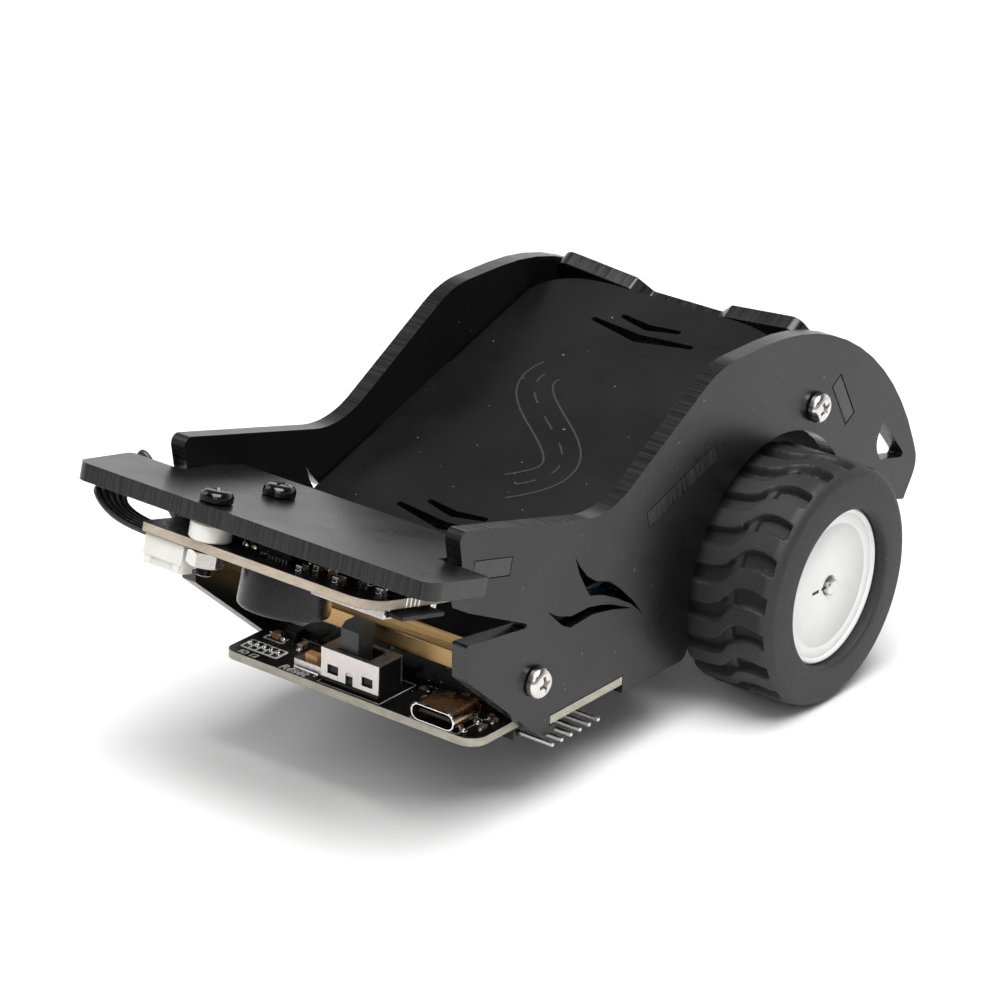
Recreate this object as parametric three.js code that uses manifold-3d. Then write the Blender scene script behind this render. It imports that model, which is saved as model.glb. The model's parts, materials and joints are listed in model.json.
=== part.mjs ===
// Two-wheeled line follower robot built from laser-cut acrylic plates and two circuit boards.
// Units are millimetres. While the pieces are drawn, x points to the robot's right, y points back
// from the front edge of the main board and z points up from the top face of the main board.
// The last lines move everything so that z = 0 is the ground and the middle of the robot is x = y = 0.
import * as THREE from 'three';
import { mergeVertices } from 'three/addons/utils/BufferGeometryUtils.js';
import Module from 'manifold-3d';

const wasm = await Module();
wasm.setup();

// ---- overall ----
const GAP = 0.3;                 // clearance kept between neighbouring pieces
const SHEET = 3;                 // acrylic sheet thickness
const CHASSIS_HALF = 30;         // half the width over the outer faces of the side plates
const INNER_HALF = CHASSIS_HALF - SHEET;
const MIDDLE_Y = 49.1;           // middle of the robot, front to back
const BOARD_THICK = 1.6;

// ---- wheels and motors ----
const AXLE = { y: 79.5, z: 6 };
const TYRE_RADIUS = 21.8;
const TYRE_FACE_X = 44.9;        // outer side of the tyre
const TYRE_WIDTH = 19.4;
const HUB_FACE_X = 42.5;         // outer face of the recessed hub disc
const HUB_RADIUS = 14.2;
const ARCH_RADIUS = 24.5;        // cut-out in the side plate around the wheel
const GROUND_Z = AXLE.z - TYRE_RADIUS;
const MOTOR_FACE_X = 31.4;       // where the gearbox ends and the shaft starts
const GEARBOX_LENGTH = 9;
const CAN_LENGTH = 15;
const SHAFT_RADIUS = 1.5;

// ---- sloping plates: angle, and the top-face point the local axes start from ----
const BUMPER = { slope: THREE.MathUtils.degToRad(14), y: -27, z: 40.2 };
const DECK = { slope: THREE.MathUtils.degToRad(18.6), y: 50, z: 31.3 };
const REAR = { slope: THREE.MathUtils.degToRad(58.3), y: 96, z: 34.8 };
const BUMPER_HALF = 37.3;
const BUMPER_LEFT_FRONT = 35.4;
const WING_DEPTH = 15.7;
const NECK_END = 31.6;
const BUMPER_SCREW_X = -9;
const BUMPER_SCREWS_T = [3.8, 19.8];
const SENSOR_BOARD_TOP = -6.3;   // below the bumper's top face
const SENSOR_BOARD = { left: -21.3, right: 26, front: 1.3, back: 24.5 };

// ---- standoffs between the side plates ----
const FRONT_STANDOFF = { y: 11.3, z: 8 };
const REAR_STANDOFF = { y: 90.9, z: 32.6 };

const materials = {
  acrylic: new THREE.MeshStandardMaterial({ color: 0x2b2b2d, roughness: 0.55 }),
  board: new THREE.MeshStandardMaterial({ color: 0x15171a, roughness: 0.5 }),
  blackPlastic: new THREE.MeshStandardMaterial({ color: 0x202022, roughness: 0.6 }),
  greyPlastic: new THREE.MeshStandardMaterial({ color: 0x3c3d3d, roughness: 0.6 }),
  whitePlastic: new THREE.MeshStandardMaterial({ color: 0xf1f0ec, roughness: 0.45 }),
  tanPlastic: new THREE.MeshStandardMaterial({ color: 0xb9916a, roughness: 0.5 }),
  rubber: new THREE.MeshStandardMaterial({ color: 0x242425, roughness: 0.85 }),
  steel: new THREE.MeshStandardMaterial({ color: 0xc9c6c2, metalness: 1, roughness: 0.25 }),
  blackSteel: new THREE.MeshStandardMaterial({ color: 0x1a1a1b, metalness: 0.6, roughness: 0.35 }),
  brass: new THREE.MeshStandardMaterial({ color: 0xcaa45a, metalness: 1, roughness: 0.35 }),
  blueWrap: new THREE.MeshStandardMaterial({ color: 0x1f6fb5, roughness: 0.35 }),
  cable: new THREE.MeshStandardMaterial({ color: 0x18181a, roughness: 0.6 }),
};

const robot = new THREE.Group();
robot.name = 'line_follower_robot';

// ---- helpers ----
function add(name, geometry, material) {
  const mesh = new THREE.Mesh(geometry, material);
  mesh.name = name;
  robot.add(mesh);
}

function toSolid(geometry) {
  const bare = geometry.clone();
  bare.deleteAttribute('normal');
  bare.deleteAttribute('uv');
  const welded = mergeVertices(bare, 1e-5);
  const mesh = new wasm.Mesh({
    numProp: 3,
    vertProperties: new Float32Array(welded.attributes.position.array),
    triVerts: new Uint32Array(welded.index.array),
  });
  return new wasm.Manifold(mesh);
}

function fromSolid(solid) {
  const mesh = solid.getMesh();
  const geometry = new THREE.BufferGeometry();
  geometry.setAttribute('position', new THREE.BufferAttribute(new Float32Array(mesh.vertProperties), 3));
  geometry.setIndex(new THREE.BufferAttribute(new Uint32Array(mesh.triVerts), 1));
  const flat = geometry.toNonIndexed();
  flat.computeVertexNormals();
  return flat;
}

function cut(body, ...tools) {
  let solid = toSolid(body);
  for (const tool of tools) {
    solid = solid.subtract(toSolid(tool));
  }
  return fromSolid(solid);
}

function join(...pieces) {
  let solid = toSolid(pieces[0]);
  for (const piece of pieces.slice(1)) {
    solid = solid.add(toSolid(piece));
  }
  return fromSolid(solid);
}

// Box from its two opposite corners.
function box(x0, x1, y0, y1, z0, z1) {
  const geometry = new THREE.BoxGeometry(x1 - x0, y1 - y0, z1 - z0);
  geometry.translate((x0 + x1) / 2, (y0 + y1) / 2, (z0 + z1) / 2);
  return geometry;
}

// Cylinder (or hexagon with sides = 6) lying along x.
function barX(radius, x0, x1, y, z, sides = 32) {
  const geometry = new THREE.CylinderGeometry(radius, radius, x1 - x0, sides);
  geometry.rotateZ(Math.PI / 2);
  geometry.translate((x0 + x1) / 2, y, z);
  return geometry;
}

function barZ(radius, x, y, z0, z1, sides = 32) {
  const geometry = new THREE.CylinderGeometry(radius, radius, z1 - z0, sides);
  geometry.rotateX(Math.PI / 2);
  geometry.translate(x, y, (z0 + z1) / 2);
  return geometry;
}

// Closed outline through corner points [u, v, corner radius]; a radius rounds that corner.
function outline(corners, PathClass = THREE.Shape) {
  const count = corners.length;
  const points = [];
  corners.forEach(([u, v, radius], i) => {
    const here = new THREE.Vector2(u, v);
    if (!radius) {
      points.push(here);
      return;
    }
    const before = new THREE.Vector2(...corners[(i + count - 1) % count]).sub(here).normalize();
    const after = new THREE.Vector2(...corners[(i + 1) % count]).sub(here).normalize();
    const half = Math.acos(before.dot(after)) / 2;
    const centre = here.clone().addScaledVector(before.clone().add(after).normalize(), radius / Math.sin(half));
    const start = here.clone().addScaledVector(before, radius / Math.tan(half)).sub(centre);
    const turn = (Math.PI - 2 * half) * (before.cross(after) > 0 ? -1 : 1);
    const steps = Math.ceil(Math.abs(turn) * (radius > 10 ? 10 : 4));
    for (let k = 0; k <= steps; k += 1) {
      points.push(start.clone().rotateAround(new THREE.Vector2(), turn * k / steps).add(centre));
    }
  });
  return new PathClass(points);
}

function extrude(shape, depth, curveSegments = 10) {
  return new THREE.ExtrudeGeometry(shape, { depth, bevelEnabled: false, curveSegments, steps: 1 });
}

// Outline drawn in (y, z), thickness running from x0 to x1.
function sidePrism(shape, x0, x1, curveSegments = 10) {
  const geometry = extrude(shape, x1 - x0, curveSegments);
  const turn = new THREE.Matrix4().makeBasis(
    new THREE.Vector3(0, 1, 0), new THREE.Vector3(0, 0, 1), new THREE.Vector3(1, 0, 0));
  geometry.applyMatrix4(turn);
  geometry.translate(x0, 0, 0);
  return geometry;
}

// Local axes of the bumper: x right, t back along its top face, n up out of it.
function onBumper(geometry) {
  geometry.rotateX(-BUMPER.slope);
  geometry.translate(0, BUMPER.y, BUMPER.z);
  return geometry;
}

function onDeck(geometry) {
  geometry.rotateX(DECK.slope);
  geometry.translate(0, DECK.y, DECK.z);
  return geometry;
}

// Local axes of the rear plate: x right, t down its front face, n back out of its far face.
function onRear(geometry) {
  geometry.rotateX(-REAR.slope);
  geometry.translate(0, REAR.y, REAR.z);
  return geometry;
}

// Cross recess of a screw head, drawn around the origin and opening towards +z.
function crossRecess(top, depth, reach, width) {
  const along = box(-reach, reach, -width / 2, width / 2, top - depth, top + 1);
  const across = box(-width / 2, width / 2, -reach, reach, top - depth, top + 1);
  return [along, across];
}

// Pan head screw pointing down -z, head resting on z = 0.
function panScrew(length, headRadius = 2.75, shankRadius = 1.35) {
  const headHeight = 2.0;
  const profile = [
    [0, -length],
    [shankRadius - 0.3, -length],
    [shankRadius, -length + 0.4],
    [shankRadius, 0],
    [headRadius, 0],
    [headRadius, 0.7],
    [headRadius * 0.93, 1.25],
    [headRadius * 0.75, 1.7],
    [headRadius * 0.45, headHeight],
    [0, headHeight],
  ].map(([r, z]) => new THREE.Vector2(r, z));
  const body = new THREE.LatheGeometry(profile, 18);
  body.rotateX(Math.PI / 2);
  return cut(body, ...crossRecess(headHeight, 1.1, 1.6, 0.65));
}

function mirrored(geometry) {
  const solid = toSolid(geometry).mirror([1, 0, 0]);
  return fromSolid(solid);
}

// ---- side plates ----
// Sliver-shaped cut-out from one tip along its upper edge to the other tip and back below.
function sliver(tipA, upper, tipB, lower) {
  const path = new THREE.Path();
  path.moveTo(...tipA);
  for (const [u, v] of [...upper, tipB, ...lower]) {
    path.lineTo(u, v);
  }
  path.closePath();
  return path;
}

// Corners of a slot given in sloping local axes (t, n), as chassis (y, z) corners.
function slotCorners(plate, sense, t0, t1, n0, n1) {
  const cos = Math.cos(plate.slope);
  const sin = Math.sin(plate.slope) * sense;
  return [[t0, n0], [t1, n0], [t1, n1], [t0, n1]].map(([t, n]) => [
    plate.y + t * cos - n * sin,
    plate.z + t * sin + n * cos,
    0,
  ]);
}

const CLEAR = GAP / 2;
const BUMPER_TAB = { start: 21.5, end: NECK_END };
const DECK_TAB = { start: -9.6, end: 10.6 };
const REAR_TAB = { start: 0, end: 10.2 };
const BOARD_TAB = { start: 16, end: 36.3 };
const PLATE_BOTTOM = -3.3;

function sidePlateOutline() {
  const shape = new THREE.Shape();
  const archStart = THREE.MathUtils.degToRad(12);
  const archEnd = THREE.MathUtils.degToRad(195);
  const archPoint = (angle) => [
    AXLE.y + ARCH_RADIUS * Math.cos(angle),
    AXLE.z + ARCH_RADIUS * Math.sin(angle),
  ];
  const archEdge = [];
  const archSteps = 26;
  for (let i = 0; i <= archSteps; i += 1) {
    archEdge.push([...archPoint(archStart + (archEnd - archStart) * i / archSteps), 0]);
  }
  const corners = [
    [-10.8, 41.6, 1.5],                       // front top corner
    [-7.9, 26.7, 0.5],                        // upper lip of the mouth
    [10.6, 18.2, 0.4],                        // back of the mouth
    [-7.6, 20.8, 0.5],                        // lower lip
    [-7.2, 14.4, 1],
    [13.9, PLATE_BOTTOM, 1.6],                // hook under the board tab
    [17.6, PLATE_BOTTOM, 0.9],
    [17.6, -BOARD_THICK - CLEAR, 0.6],
    [BOARD_TAB.start - CLEAR, -BOARD_THICK - CLEAR, 0],
    [BOARD_TAB.start - CLEAR, CLEAR, 0],
    [BOARD_TAB.end + CLEAR, CLEAR, 0],
    [BOARD_TAB.end + CLEAR, PLATE_BOTTOM, 0],
    [54.6, PLATE_BOTTOM, 2],                  // corner ahead of the wheel
    ...archEdge.reverse(),
    [123.3, 4.8, 0.6],                        // lower tip of the tail
    [127.3, 11.2, 5],
    [110.3, 48.7, 56],                        // long curved back
    [60.4, 48.7, 18],
    [30, 31.1, 17],                           // hollow behind the nose
  ];
  return outline(corners);
}

function sidePlateHoles() {
  const bumperSlot = outline(slotCorners(BUMPER, -1, BUMPER_TAB.start - CLEAR,
    BUMPER_TAB.end + CLEAR, -SHEET - CLEAR, CLEAR), THREE.Path);
  const deckSlot = outline(slotCorners(DECK, 1, DECK_TAB.start - CLEAR,
    DECK_TAB.end + CLEAR, -SHEET - CLEAR, CLEAR), THREE.Path);
  const rearSlot = outline(slotCorners(REAR, -1, REAR_TAB.start - CLEAR,
    REAR_TAB.end + CLEAR, -CLEAR, SHEET + CLEAR), THREE.Path);
  const tailHole = outline([[114.2, 22.8, 0.5], [122.9, 13.4, 0.6], [114.2, 15.4, 0.8], [111.7, 18.8, 4]],
    THREE.Path);
  const upperFlame = sliver([20.9, 26.9], [[22.5, 24.6], [24.6, 22.3], [27.2, 20.5], [31.2, 19.1], [34, 17], [37.9, 13.6]],
    [41.5, 9.7], [[37.6, 12.9], [32.9, 15.6], [29.3, 17.3], [25.6, 18.4], [24.2, 20.4], [22.2, 23.6]]);
  const lowerFlame = sliver([13.9, 19.4], [[17, 17.6], [20.6, 16.4], [25.4, 16.4], [29.1, 15.6], [32.2, 14.6]],
    [38, 12], [[32, 13.7], [26.6, 14.7], [23.1, 14.5], [20.4, 14.4], [18.3, 15.5], [16.4, 17.1]]);
  const holes = [bumperSlot, deckSlot, rearSlot, tailHole, upperFlame, lowerFlame];
  for (const standoff of [FRONT_STANDOFF, REAR_STANDOFF]) {
    const hole = new THREE.Path();
    hole.absarc(standoff.y, standoff.z, 1.7, 0, Math.PI * 2, true);
    holes.push(hole);
  }
  return holes;
}

const plateShape = sidePlateOutline();
plateShape.holes = sidePlateHoles();
add('right_side_plate', sidePrism(plateShape, INNER_HALF, CHASSIS_HALF), materials.acrylic);
add('left_side_plate', sidePrism(plateShape, -CHASSIS_HALF, -INNER_HALF), materials.acrylic);

// ---- deck ----
const PANEL_HALF = INNER_HALF - GAP;
const DECK_FRONT = -32.5;
const DECK_BACK = 41.6;

function chevron(tipX, tipT, vertexT, thickness) {
  return outline([
    [0, vertexT, 0],
    [tipX, tipT, 0.3],
    [tipX, tipT + 1, 0.3],
    [0, vertexT + thickness, 0],
    [-tipX, tipT + 1, 0.3],
    [-tipX, tipT, 0.3],
  ], THREE.Path);
}

const deckShape = new THREE.Shape();
deckShape.moveTo(-PANEL_HALF, DECK_FRONT);
deckShape.lineTo(PANEL_HALF, DECK_FRONT);
deckShape.lineTo(PANEL_HALF, DECK_TAB.start);
deckShape.lineTo(CHASSIS_HALF, DECK_TAB.start);
deckShape.lineTo(CHASSIS_HALF, DECK_TAB.end);
deckShape.lineTo(PANEL_HALF, DECK_TAB.end);
deckShape.lineTo(PANEL_HALF, DECK_BACK - 7.5);
deckShape.quadraticCurveTo(24.5, DECK_BACK, 13, DECK_BACK);
deckShape.lineTo(-13, DECK_BACK);
deckShape.quadraticCurveTo(-24.5, DECK_BACK, -PANEL_HALF, DECK_BACK - 7.5);
deckShape.lineTo(-PANEL_HALF, DECK_TAB.end);
deckShape.lineTo(-CHASSIS_HALF, DECK_TAB.end);
deckShape.lineTo(-CHASSIS_HALF, DECK_TAB.start);
deckShape.lineTo(-PANEL_HALF, DECK_TAB.start);
deckShape.closePath();
deckShape.holes = [
  chevron(6.3, 34.1, 32.6, 1.7),
  chevron(10.8, 31.3, 29, 2.2),
  chevron(6.3, -23.2, -24.7, 1.7),
  chevron(10.8, -26, -28.3, 2.2),
];
const deck = extrude(deckShape, SHEET);
deck.translate(0, 0, -SHEET);
add('deck_plate', onDeck(deck), materials.acrylic);

// ---- rear plate with two raised ears ----
const EAR_TOP = { inner: -11.2, outer: -13.4 };
const REAR_RECESS = -8.5;
const REAR_LOWER = 30;
const rearHalf = [
  [PANEL_HALF, REAR_LOWER, 2],
  [PANEL_HALF, REAR_TAB.end, 0],
  [CHASSIS_HALF, REAR_TAB.end, 0],
  [CHASSIS_HALF, REAR_TAB.start, 0],
  [PANEL_HALF, REAR_TAB.start, 0],
  [PANEL_HALF, REAR_RECESS - 1.5, 0],
  [25.2, EAR_TOP.outer, 2.5],
  [10.2, EAR_TOP.inner, 1],
  [7.4, REAR_RECESS, 0.8],
];
const rearShape = outline([
  ...rearHalf,
  ...rearHalf.map(([x, t, radius]) => [-x, t, radius]).reverse(),
]);
add('rear_plate', onRear(extrude(rearShape, SHEET)), materials.acrylic);

// ---- front bumper ----
const bumperHalf = [
  [BUMPER_HALF, 0, 3.5],
  [BUMPER_HALF, WING_DEPTH, 1],
  [PANEL_HALF, WING_DEPTH, 0],
  [PANEL_HALF, BUMPER_TAB.start, 0],
  [CHASSIS_HALF, BUMPER_TAB.start, 0],
  [CHASSIS_HALF, BUMPER_TAB.end, 0],
];
const bumperShape = outline([
  ...bumperHalf,
  ...bumperHalf.slice(1).map(([x, t, radius]) => [-x, t, radius]).reverse(),
  [-BUMPER_LEFT_FRONT, 0, 2.5],
]);
for (const t of BUMPER_SCREWS_T) {
  const hole = new THREE.Path();
  hole.absarc(BUMPER_SCREW_X, t, 1.7, 0, Math.PI * 2, true);
  bumperShape.holes.push(hole);
}
const bumper = extrude(bumperShape, SHEET);
bumper.translate(0, 0, -SHEET);
add('bumper_plate', onBumper(bumper), materials.acrylic);

// ---- sensor board hung under the bumper ----
const sensorShape = outline([
  [SENSOR_BOARD.left, SENSOR_BOARD.front, 1],
  [SENSOR_BOARD.right, SENSOR_BOARD.front, 4.5],
  [SENSOR_BOARD.right, SENSOR_BOARD.back, 2],
  [SENSOR_BOARD.left, SENSOR_BOARD.back, 2],
]);
for (const t of BUMPER_SCREWS_T) {
  const hole = new THREE.Path();
  hole.absarc(BUMPER_SCREW_X, t, 1.7, 0, Math.PI * 2, true);
  sensorShape.holes.push(hole);
}
const sensorBoard = extrude(sensorShape, BOARD_THICK);
sensorBoard.translate(0, 0, SENSOR_BOARD_TOP - BOARD_THICK);
add('sensor_board', onBumper(sensorBoard), materials.board);
const UNDER_SENSOR = SENSOR_BOARD_TOP - BOARD_THICK - GAP / 2;

const screwNames = ['front', 'rear'];
BUMPER_SCREWS_T.forEach((t, index) => {
  const where = screwNames[index];
  const screw = panScrew(11.6);
  screw.translate(BUMPER_SCREW_X, t, CLEAR);
  add(`bumper_screw_${where}`, onBumper(screw), materials.blackSteel);

  const spacerTop = -SHEET - CLEAR;
  const spacerBottom = SENSOR_BOARD_TOP + CLEAR;
  const spacer = cut(barZ(3.5, BUMPER_SCREW_X, t, spacerBottom, spacerTop),
    barZ(1.7, BUMPER_SCREW_X, t, spacerBottom - 1, spacerTop + 1, 20));
  add(`nylon_spacer_${where}`, onBumper(spacer), materials.whitePlastic);

  const nut = cut(barZ(3.17, BUMPER_SCREW_X, t, UNDER_SENSOR - 2.4, UNDER_SENSOR, 6),
    barZ(1.65, BUMPER_SCREW_X, t, UNDER_SENSOR - 4, UNDER_SENSOR + 1, 20));
  add(`bumper_nut_${where}`, onBumper(nut), materials.steel);
});

// ---- buzzer, card socket and card under the sensor board ----
const BUZZER = { x: 2.4, t: 11, radius: 7.6, height: 7.2 };
const buzzerProfile = [
  [0, 0],
  [BUZZER.radius, 0],
  [BUZZER.radius, -BUZZER.height + 0.8],
  [BUZZER.radius - 0.25, -BUZZER.height + 0.25],
  [BUZZER.radius - 0.8, -BUZZER.height],
  [1.6, -BUZZER.height],
  [1.6, -BUZZER.height + 1.5],
  [0, -BUZZER.height + 1.5],
].map(([r, z]) => new THREE.Vector2(r, z)).reverse();
const buzzer = new THREE.LatheGeometry(buzzerProfile, 32);
buzzer.rotateX(Math.PI / 2);
buzzer.translate(BUZZER.x, BUZZER.t, UNDER_SENSOR);
add('buzzer', onBumper(buzzer), materials.blackPlastic);

const CARD = { right: 28, left: 13, front: 7.6, back: 18.6, thick: 0.8 };
const SOCKET = { left: 10.4, right: 25, front: 6.6, back: 20.4, height: 1.7 };
const socketTop = UNDER_SENSOR;
const cardTop = socketTop - 0.45;
const cardSocket = cut(
  box(SOCKET.left, SOCKET.right, SOCKET.front, SOCKET.back, socketTop - SOCKET.height, socketTop),
  box(CARD.left - 0.4, SOCKET.right + 1, CARD.front - 0.2, CARD.back + 0.2,
    cardTop - CARD.thick - 0.15, cardTop + 0.15));
add('card_socket', onBumper(cardSocket), materials.steel);
const card = box(CARD.left, CARD.right, CARD.front, CARD.back, cardTop - CARD.thick, cardTop);
add('memory_card', onBumper(card), materials.blackPlastic);

// ---- sensor cable: plug and socket at each end, five strands side by side ----
const CABLE_SOCKET = { left: -20.4, right: -12.2, front: 1.8, back: 5, height: 4.9 };
const socketFloor = UNDER_SENSOR - CABLE_SOCKET.height;
const upperSocket = box(CABLE_SOCKET.left, CABLE_SOCKET.right, CABLE_SOCKET.front, CABLE_SOCKET.back,
  socketFloor, UNDER_SENSOR);
add('cable_socket_upper', onBumper(upperSocket), materials.whitePlastic);
const PLUG_LENGTH = 2.3;
const upperPlug = box(CABLE_SOCKET.left + 0.5, CABLE_SOCKET.right - 0.5,
  CABLE_SOCKET.back + GAP, CABLE_SOCKET.back + GAP + PLUG_LENGTH, socketFloor + 0.6, UNDER_SENSOR - 0.8);
add('cable_plug_upper', onBumper(upperPlug), materials.whitePlastic);

function fromBumper(x, t, n) {
  return new THREE.Vector3(x, t, n)
    .applyAxisAngle(new THREE.Vector3(1, 0, 0), -BUMPER.slope)
    .add(new THREE.Vector3(0, BUMPER.y, BUMPER.z));
}

const LOWER_SOCKET = { x0: -25.4, x1: -22, y0: 15, y1: 23.6, z0: 0.15, z1: 5.6 };
add('cable_socket_lower', box(LOWER_SOCKET.x0, LOWER_SOCKET.x1, LOWER_SOCKET.y0, LOWER_SOCKET.y1,
  LOWER_SOCKET.z0, LOWER_SOCKET.z1), materials.whitePlastic);
add('cable_plug_lower', box(LOWER_SOCKET.x0 + 0.5, LOWER_SOCKET.x1 - 0.5, LOWER_SOCKET.y0 + 0.5,
  LOWER_SOCKET.y1 - 0.5, LOWER_SOCKET.z1 + GAP, LOWER_SOCKET.z1 + 3.4), materials.whitePlastic);

const STRAND_RADIUS = 0.65;
const STRAND_PITCH = 1.2;
const STRANDS = 5;
const plugExit = CABLE_SOCKET.back + 2 * GAP + PLUG_LENGTH;
const plugMiddleX = (CABLE_SOCKET.left + CABLE_SOCKET.right) / 2;
const plugMiddleN = (socketFloor + UNDER_SENSOR) / 2;
const lowerMiddle = new THREE.Vector3((LOWER_SOCKET.x0 + LOWER_SOCKET.x1) / 2,
  (LOWER_SOCKET.y0 + LOWER_SOCKET.y1) / 2, LOWER_SOCKET.z1 + 3.8);

function strandPath(index) {
  const offset = (index - (STRANDS - 1) / 2) * STRAND_PITCH;
  const points = [
    // out of the plug, round to the left below the sensor board
    fromBumper(plugMiddleX + offset, plugExit, plugMiddleN),
    fromBumper(plugMiddleX - 0.8 + offset * 0.9, plugExit + 2.7 + offset * 0.4, plugMiddleN),
    fromBumper(-20.5 + offset * 0.3, 12.8 + offset * 0.9, -10.6),
    fromBumper(-25.5, 11.6 + offset, -10.1),
    fromBumper(-30, 9.2 + offset, -8.9),
    // up to the wing and back along its underside
    fromBumper(-32.8 + offset * 0.1, 8.2 + offset * 0.95, -7.3),
    fromBumper(-34.1 + offset * 0.6, 8.2 + offset * 0.75, -5.4),
    fromBumper(-34.3 + offset * 0.95, 11.5, -4.5),
    fromBumper(-34.9 + offset * 0.95, 15.9, -4.7),
    // up behind the wing's back edge, then down to the mouth of the side plate
    fromBumper(-35.6 + offset * 0.75, 18.2 + offset * 0.2, -3.5 - offset * 0.5),
    fromBumper(-35.8 + offset * 0.45, 18.9 + offset * 0.4, -2.2 - offset * 0.85),
    fromBumper(-34.8, 19.8 + offset * 0.6, -3.5 - offset * 0.8),
    fromBumper(-33.2, 22.4 + offset * 0.9, -6.8 - offset * 0.5),
    new THREE.Vector3(-31.4, -4.1 + offset, 23.2 - offset * 0.25),
    new THREE.Vector3(-26.6, -3.9 + offset, 22 - offset * 0.25),
    new THREE.Vector3(-23.2 + offset * 0.3, 0.5 + offset * 0.8, 19),
    new THREE.Vector3(lowerMiddle.x, lowerMiddle.y - 4 + offset, 15.5),
    new THREE.Vector3(lowerMiddle.x, lowerMiddle.y + offset, lowerMiddle.z),
  ];
  return new THREE.CatmullRomCurve3(points, false, 'centripetal');
}

function strand(index) {
  const ring = new THREE.Shape();
  ring.absarc(0, 0, STRAND_RADIUS, 0, Math.PI * 2, false);
  return new THREE.ExtrudeGeometry(ring, {
    steps: 28,
    curveSegments: 3,
    bevelEnabled: false,
    extrudePath: strandPath(index),
  });
}
add('sensor_cable', join(...Array.from({ length: STRANDS }, (_, index) => strand(index))), materials.cable);

// ---- main board ----
const BOARD_HALF = INNER_HALF - GAP;
const BOARD_WAIST = 24;
const BOARD_BACK = 106;
const FRONT_CORNER = { right: 3.4, left: 1.8 };
const boardHalf = [
  [BOARD_HALF, BOARD_TAB.start, 0],
  [CHASSIS_HALF, BOARD_TAB.start, 0],
  [CHASSIS_HALF, BOARD_TAB.end, 0],
  [BOARD_HALF, BOARD_TAB.end, 0],
  [BOARD_HALF, 54, 1.5],
  [BOARD_WAIST, 57, 1.5],
  [BOARD_WAIST, BOARD_BACK, 3],
];
const boardShape = outline([
  [BOARD_HALF, 0, FRONT_CORNER.right],
  ...boardHalf,
  ...boardHalf.map(([x, y, radius]) => [-x, y, radius]).reverse(),
  [-BOARD_HALF, 0, FRONT_CORNER.left],
]);
const mainBoard = extrude(boardShape, BOARD_THICK);
mainBoard.translate(0, 0, -BOARD_THICK);
add('main_board', mainBoard, materials.board);

// ---- power switch ----
const SWITCH = { x0: -6.6, x1: 5.7, y0: 1.1, y1: 7.5, bodyTop: 0.85, top: 6.3 };
const switchWall = 0.35;
const lidThickness = 0.4;
const LEVER = { x0: -3.6, x1: 0.2, y0: 2.4, y1: 6.4, floor: 3.9, top: 11.1 };
const LEVER_TRAVEL = 2.5;        // towards the right
const leverChannel = box(LEVER.x0 - GAP, LEVER.x1 + LEVER_TRAVEL + GAP, LEVER.y0 - GAP, LEVER.y1 + GAP,
  LEVER.floor - GAP, SWITCH.top + 1);
const switchBody = cut(
  join(
    box(SWITCH.x0 + 0.1, SWITCH.x1 - 0.1, SWITCH.y0 + 0.1, SWITCH.y1 - 0.1, CLEAR, SWITCH.bodyTop),
    box(SWITCH.x0 + 0.1, SWITCH.x1 - 0.1, SWITCH.y0 + switchWall + CLEAR, SWITCH.y1 - switchWall - CLEAR,
      CLEAR, SWITCH.top - lidThickness - CLEAR)),
  leverChannel);
add('power_switch_body', switchBody, materials.blackPlastic);

const shellBottom = SWITCH.bodyTop + CLEAR;
const shellFront = [SWITCH.y0 - 1, SWITCH.y0 + switchWall];
const switchShell = cut(
  box(SWITCH.x0, SWITCH.x1, SWITCH.y0, SWITCH.y1, shellBottom, SWITCH.top),
  box(SWITCH.x0 - 1, SWITCH.x1 + 1, SWITCH.y0 + switchWall, SWITCH.y1 - switchWall,
    shellBottom - 1, SWITCH.top - lidThickness),
  leverChannel,
  box(-5.2, -2.9, ...shellFront, 1.9, 3.5),
  box(2.1, 4.4, ...shellFront, 1.9, 3.5),
  box(-1.3, 0.2, ...shellFront, shellBottom - 1, 2.5),
  barZ(0.75, 0, 0, -0.2, 1, 16).rotateX(Math.PI / 2).translate(-0.55, SWITCH.y0, 2.5));
add('power_switch_shell', switchShell, materials.steel);

const leverProfile = outline([
  [LEVER.y0, LEVER.floor, 0],
  [LEVER.y1, LEVER.floor, 0],
  [LEVER.y1, LEVER.top, 0.3],
  [LEVER.y0 + 1.1, LEVER.top, 0.3],
  [LEVER.y0, LEVER.top - 0.9, 0.3],
]);
add('power_switch_lever', sidePrism(leverProfile, LEVER.x0, LEVER.x1, 4), materials.greyPlastic);

// ---- reset button ----
const RESET = { x: -10.1, y: 3.6, halfX: 2.9, halfY: 1.7, top: 1.9, capHalfX: 1.3, capHalfY: 0.8 };
const resetBody = cut(
  box(RESET.x - RESET.halfX, RESET.x + RESET.halfX, RESET.y - RESET.halfY, RESET.y + RESET.halfY,
    CLEAR, RESET.top),
  box(RESET.x - RESET.capHalfX - 0.2, RESET.x + RESET.capHalfX + 0.2, RESET.y - RESET.capHalfY - 0.2,
    RESET.y + RESET.capHalfY + 0.2, 0.8, RESET.top + 1));
add('reset_button_body', resetBody, materials.steel);
add('reset_button_cap', box(RESET.x - RESET.capHalfX, RESET.x + RESET.capHalfX, RESET.y - RESET.capHalfY,
  RESET.y + RESET.capHalfY, 1.3, 3), materials.tanPlastic);

// ---- USB-C socket: oval shell, tongue joined to its back wall ----
const USB = { x: 18, width: 8.94, height: 3.26, front: -0.2, back: 7.2, wall: 0.3, lift: 0.1 };

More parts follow.
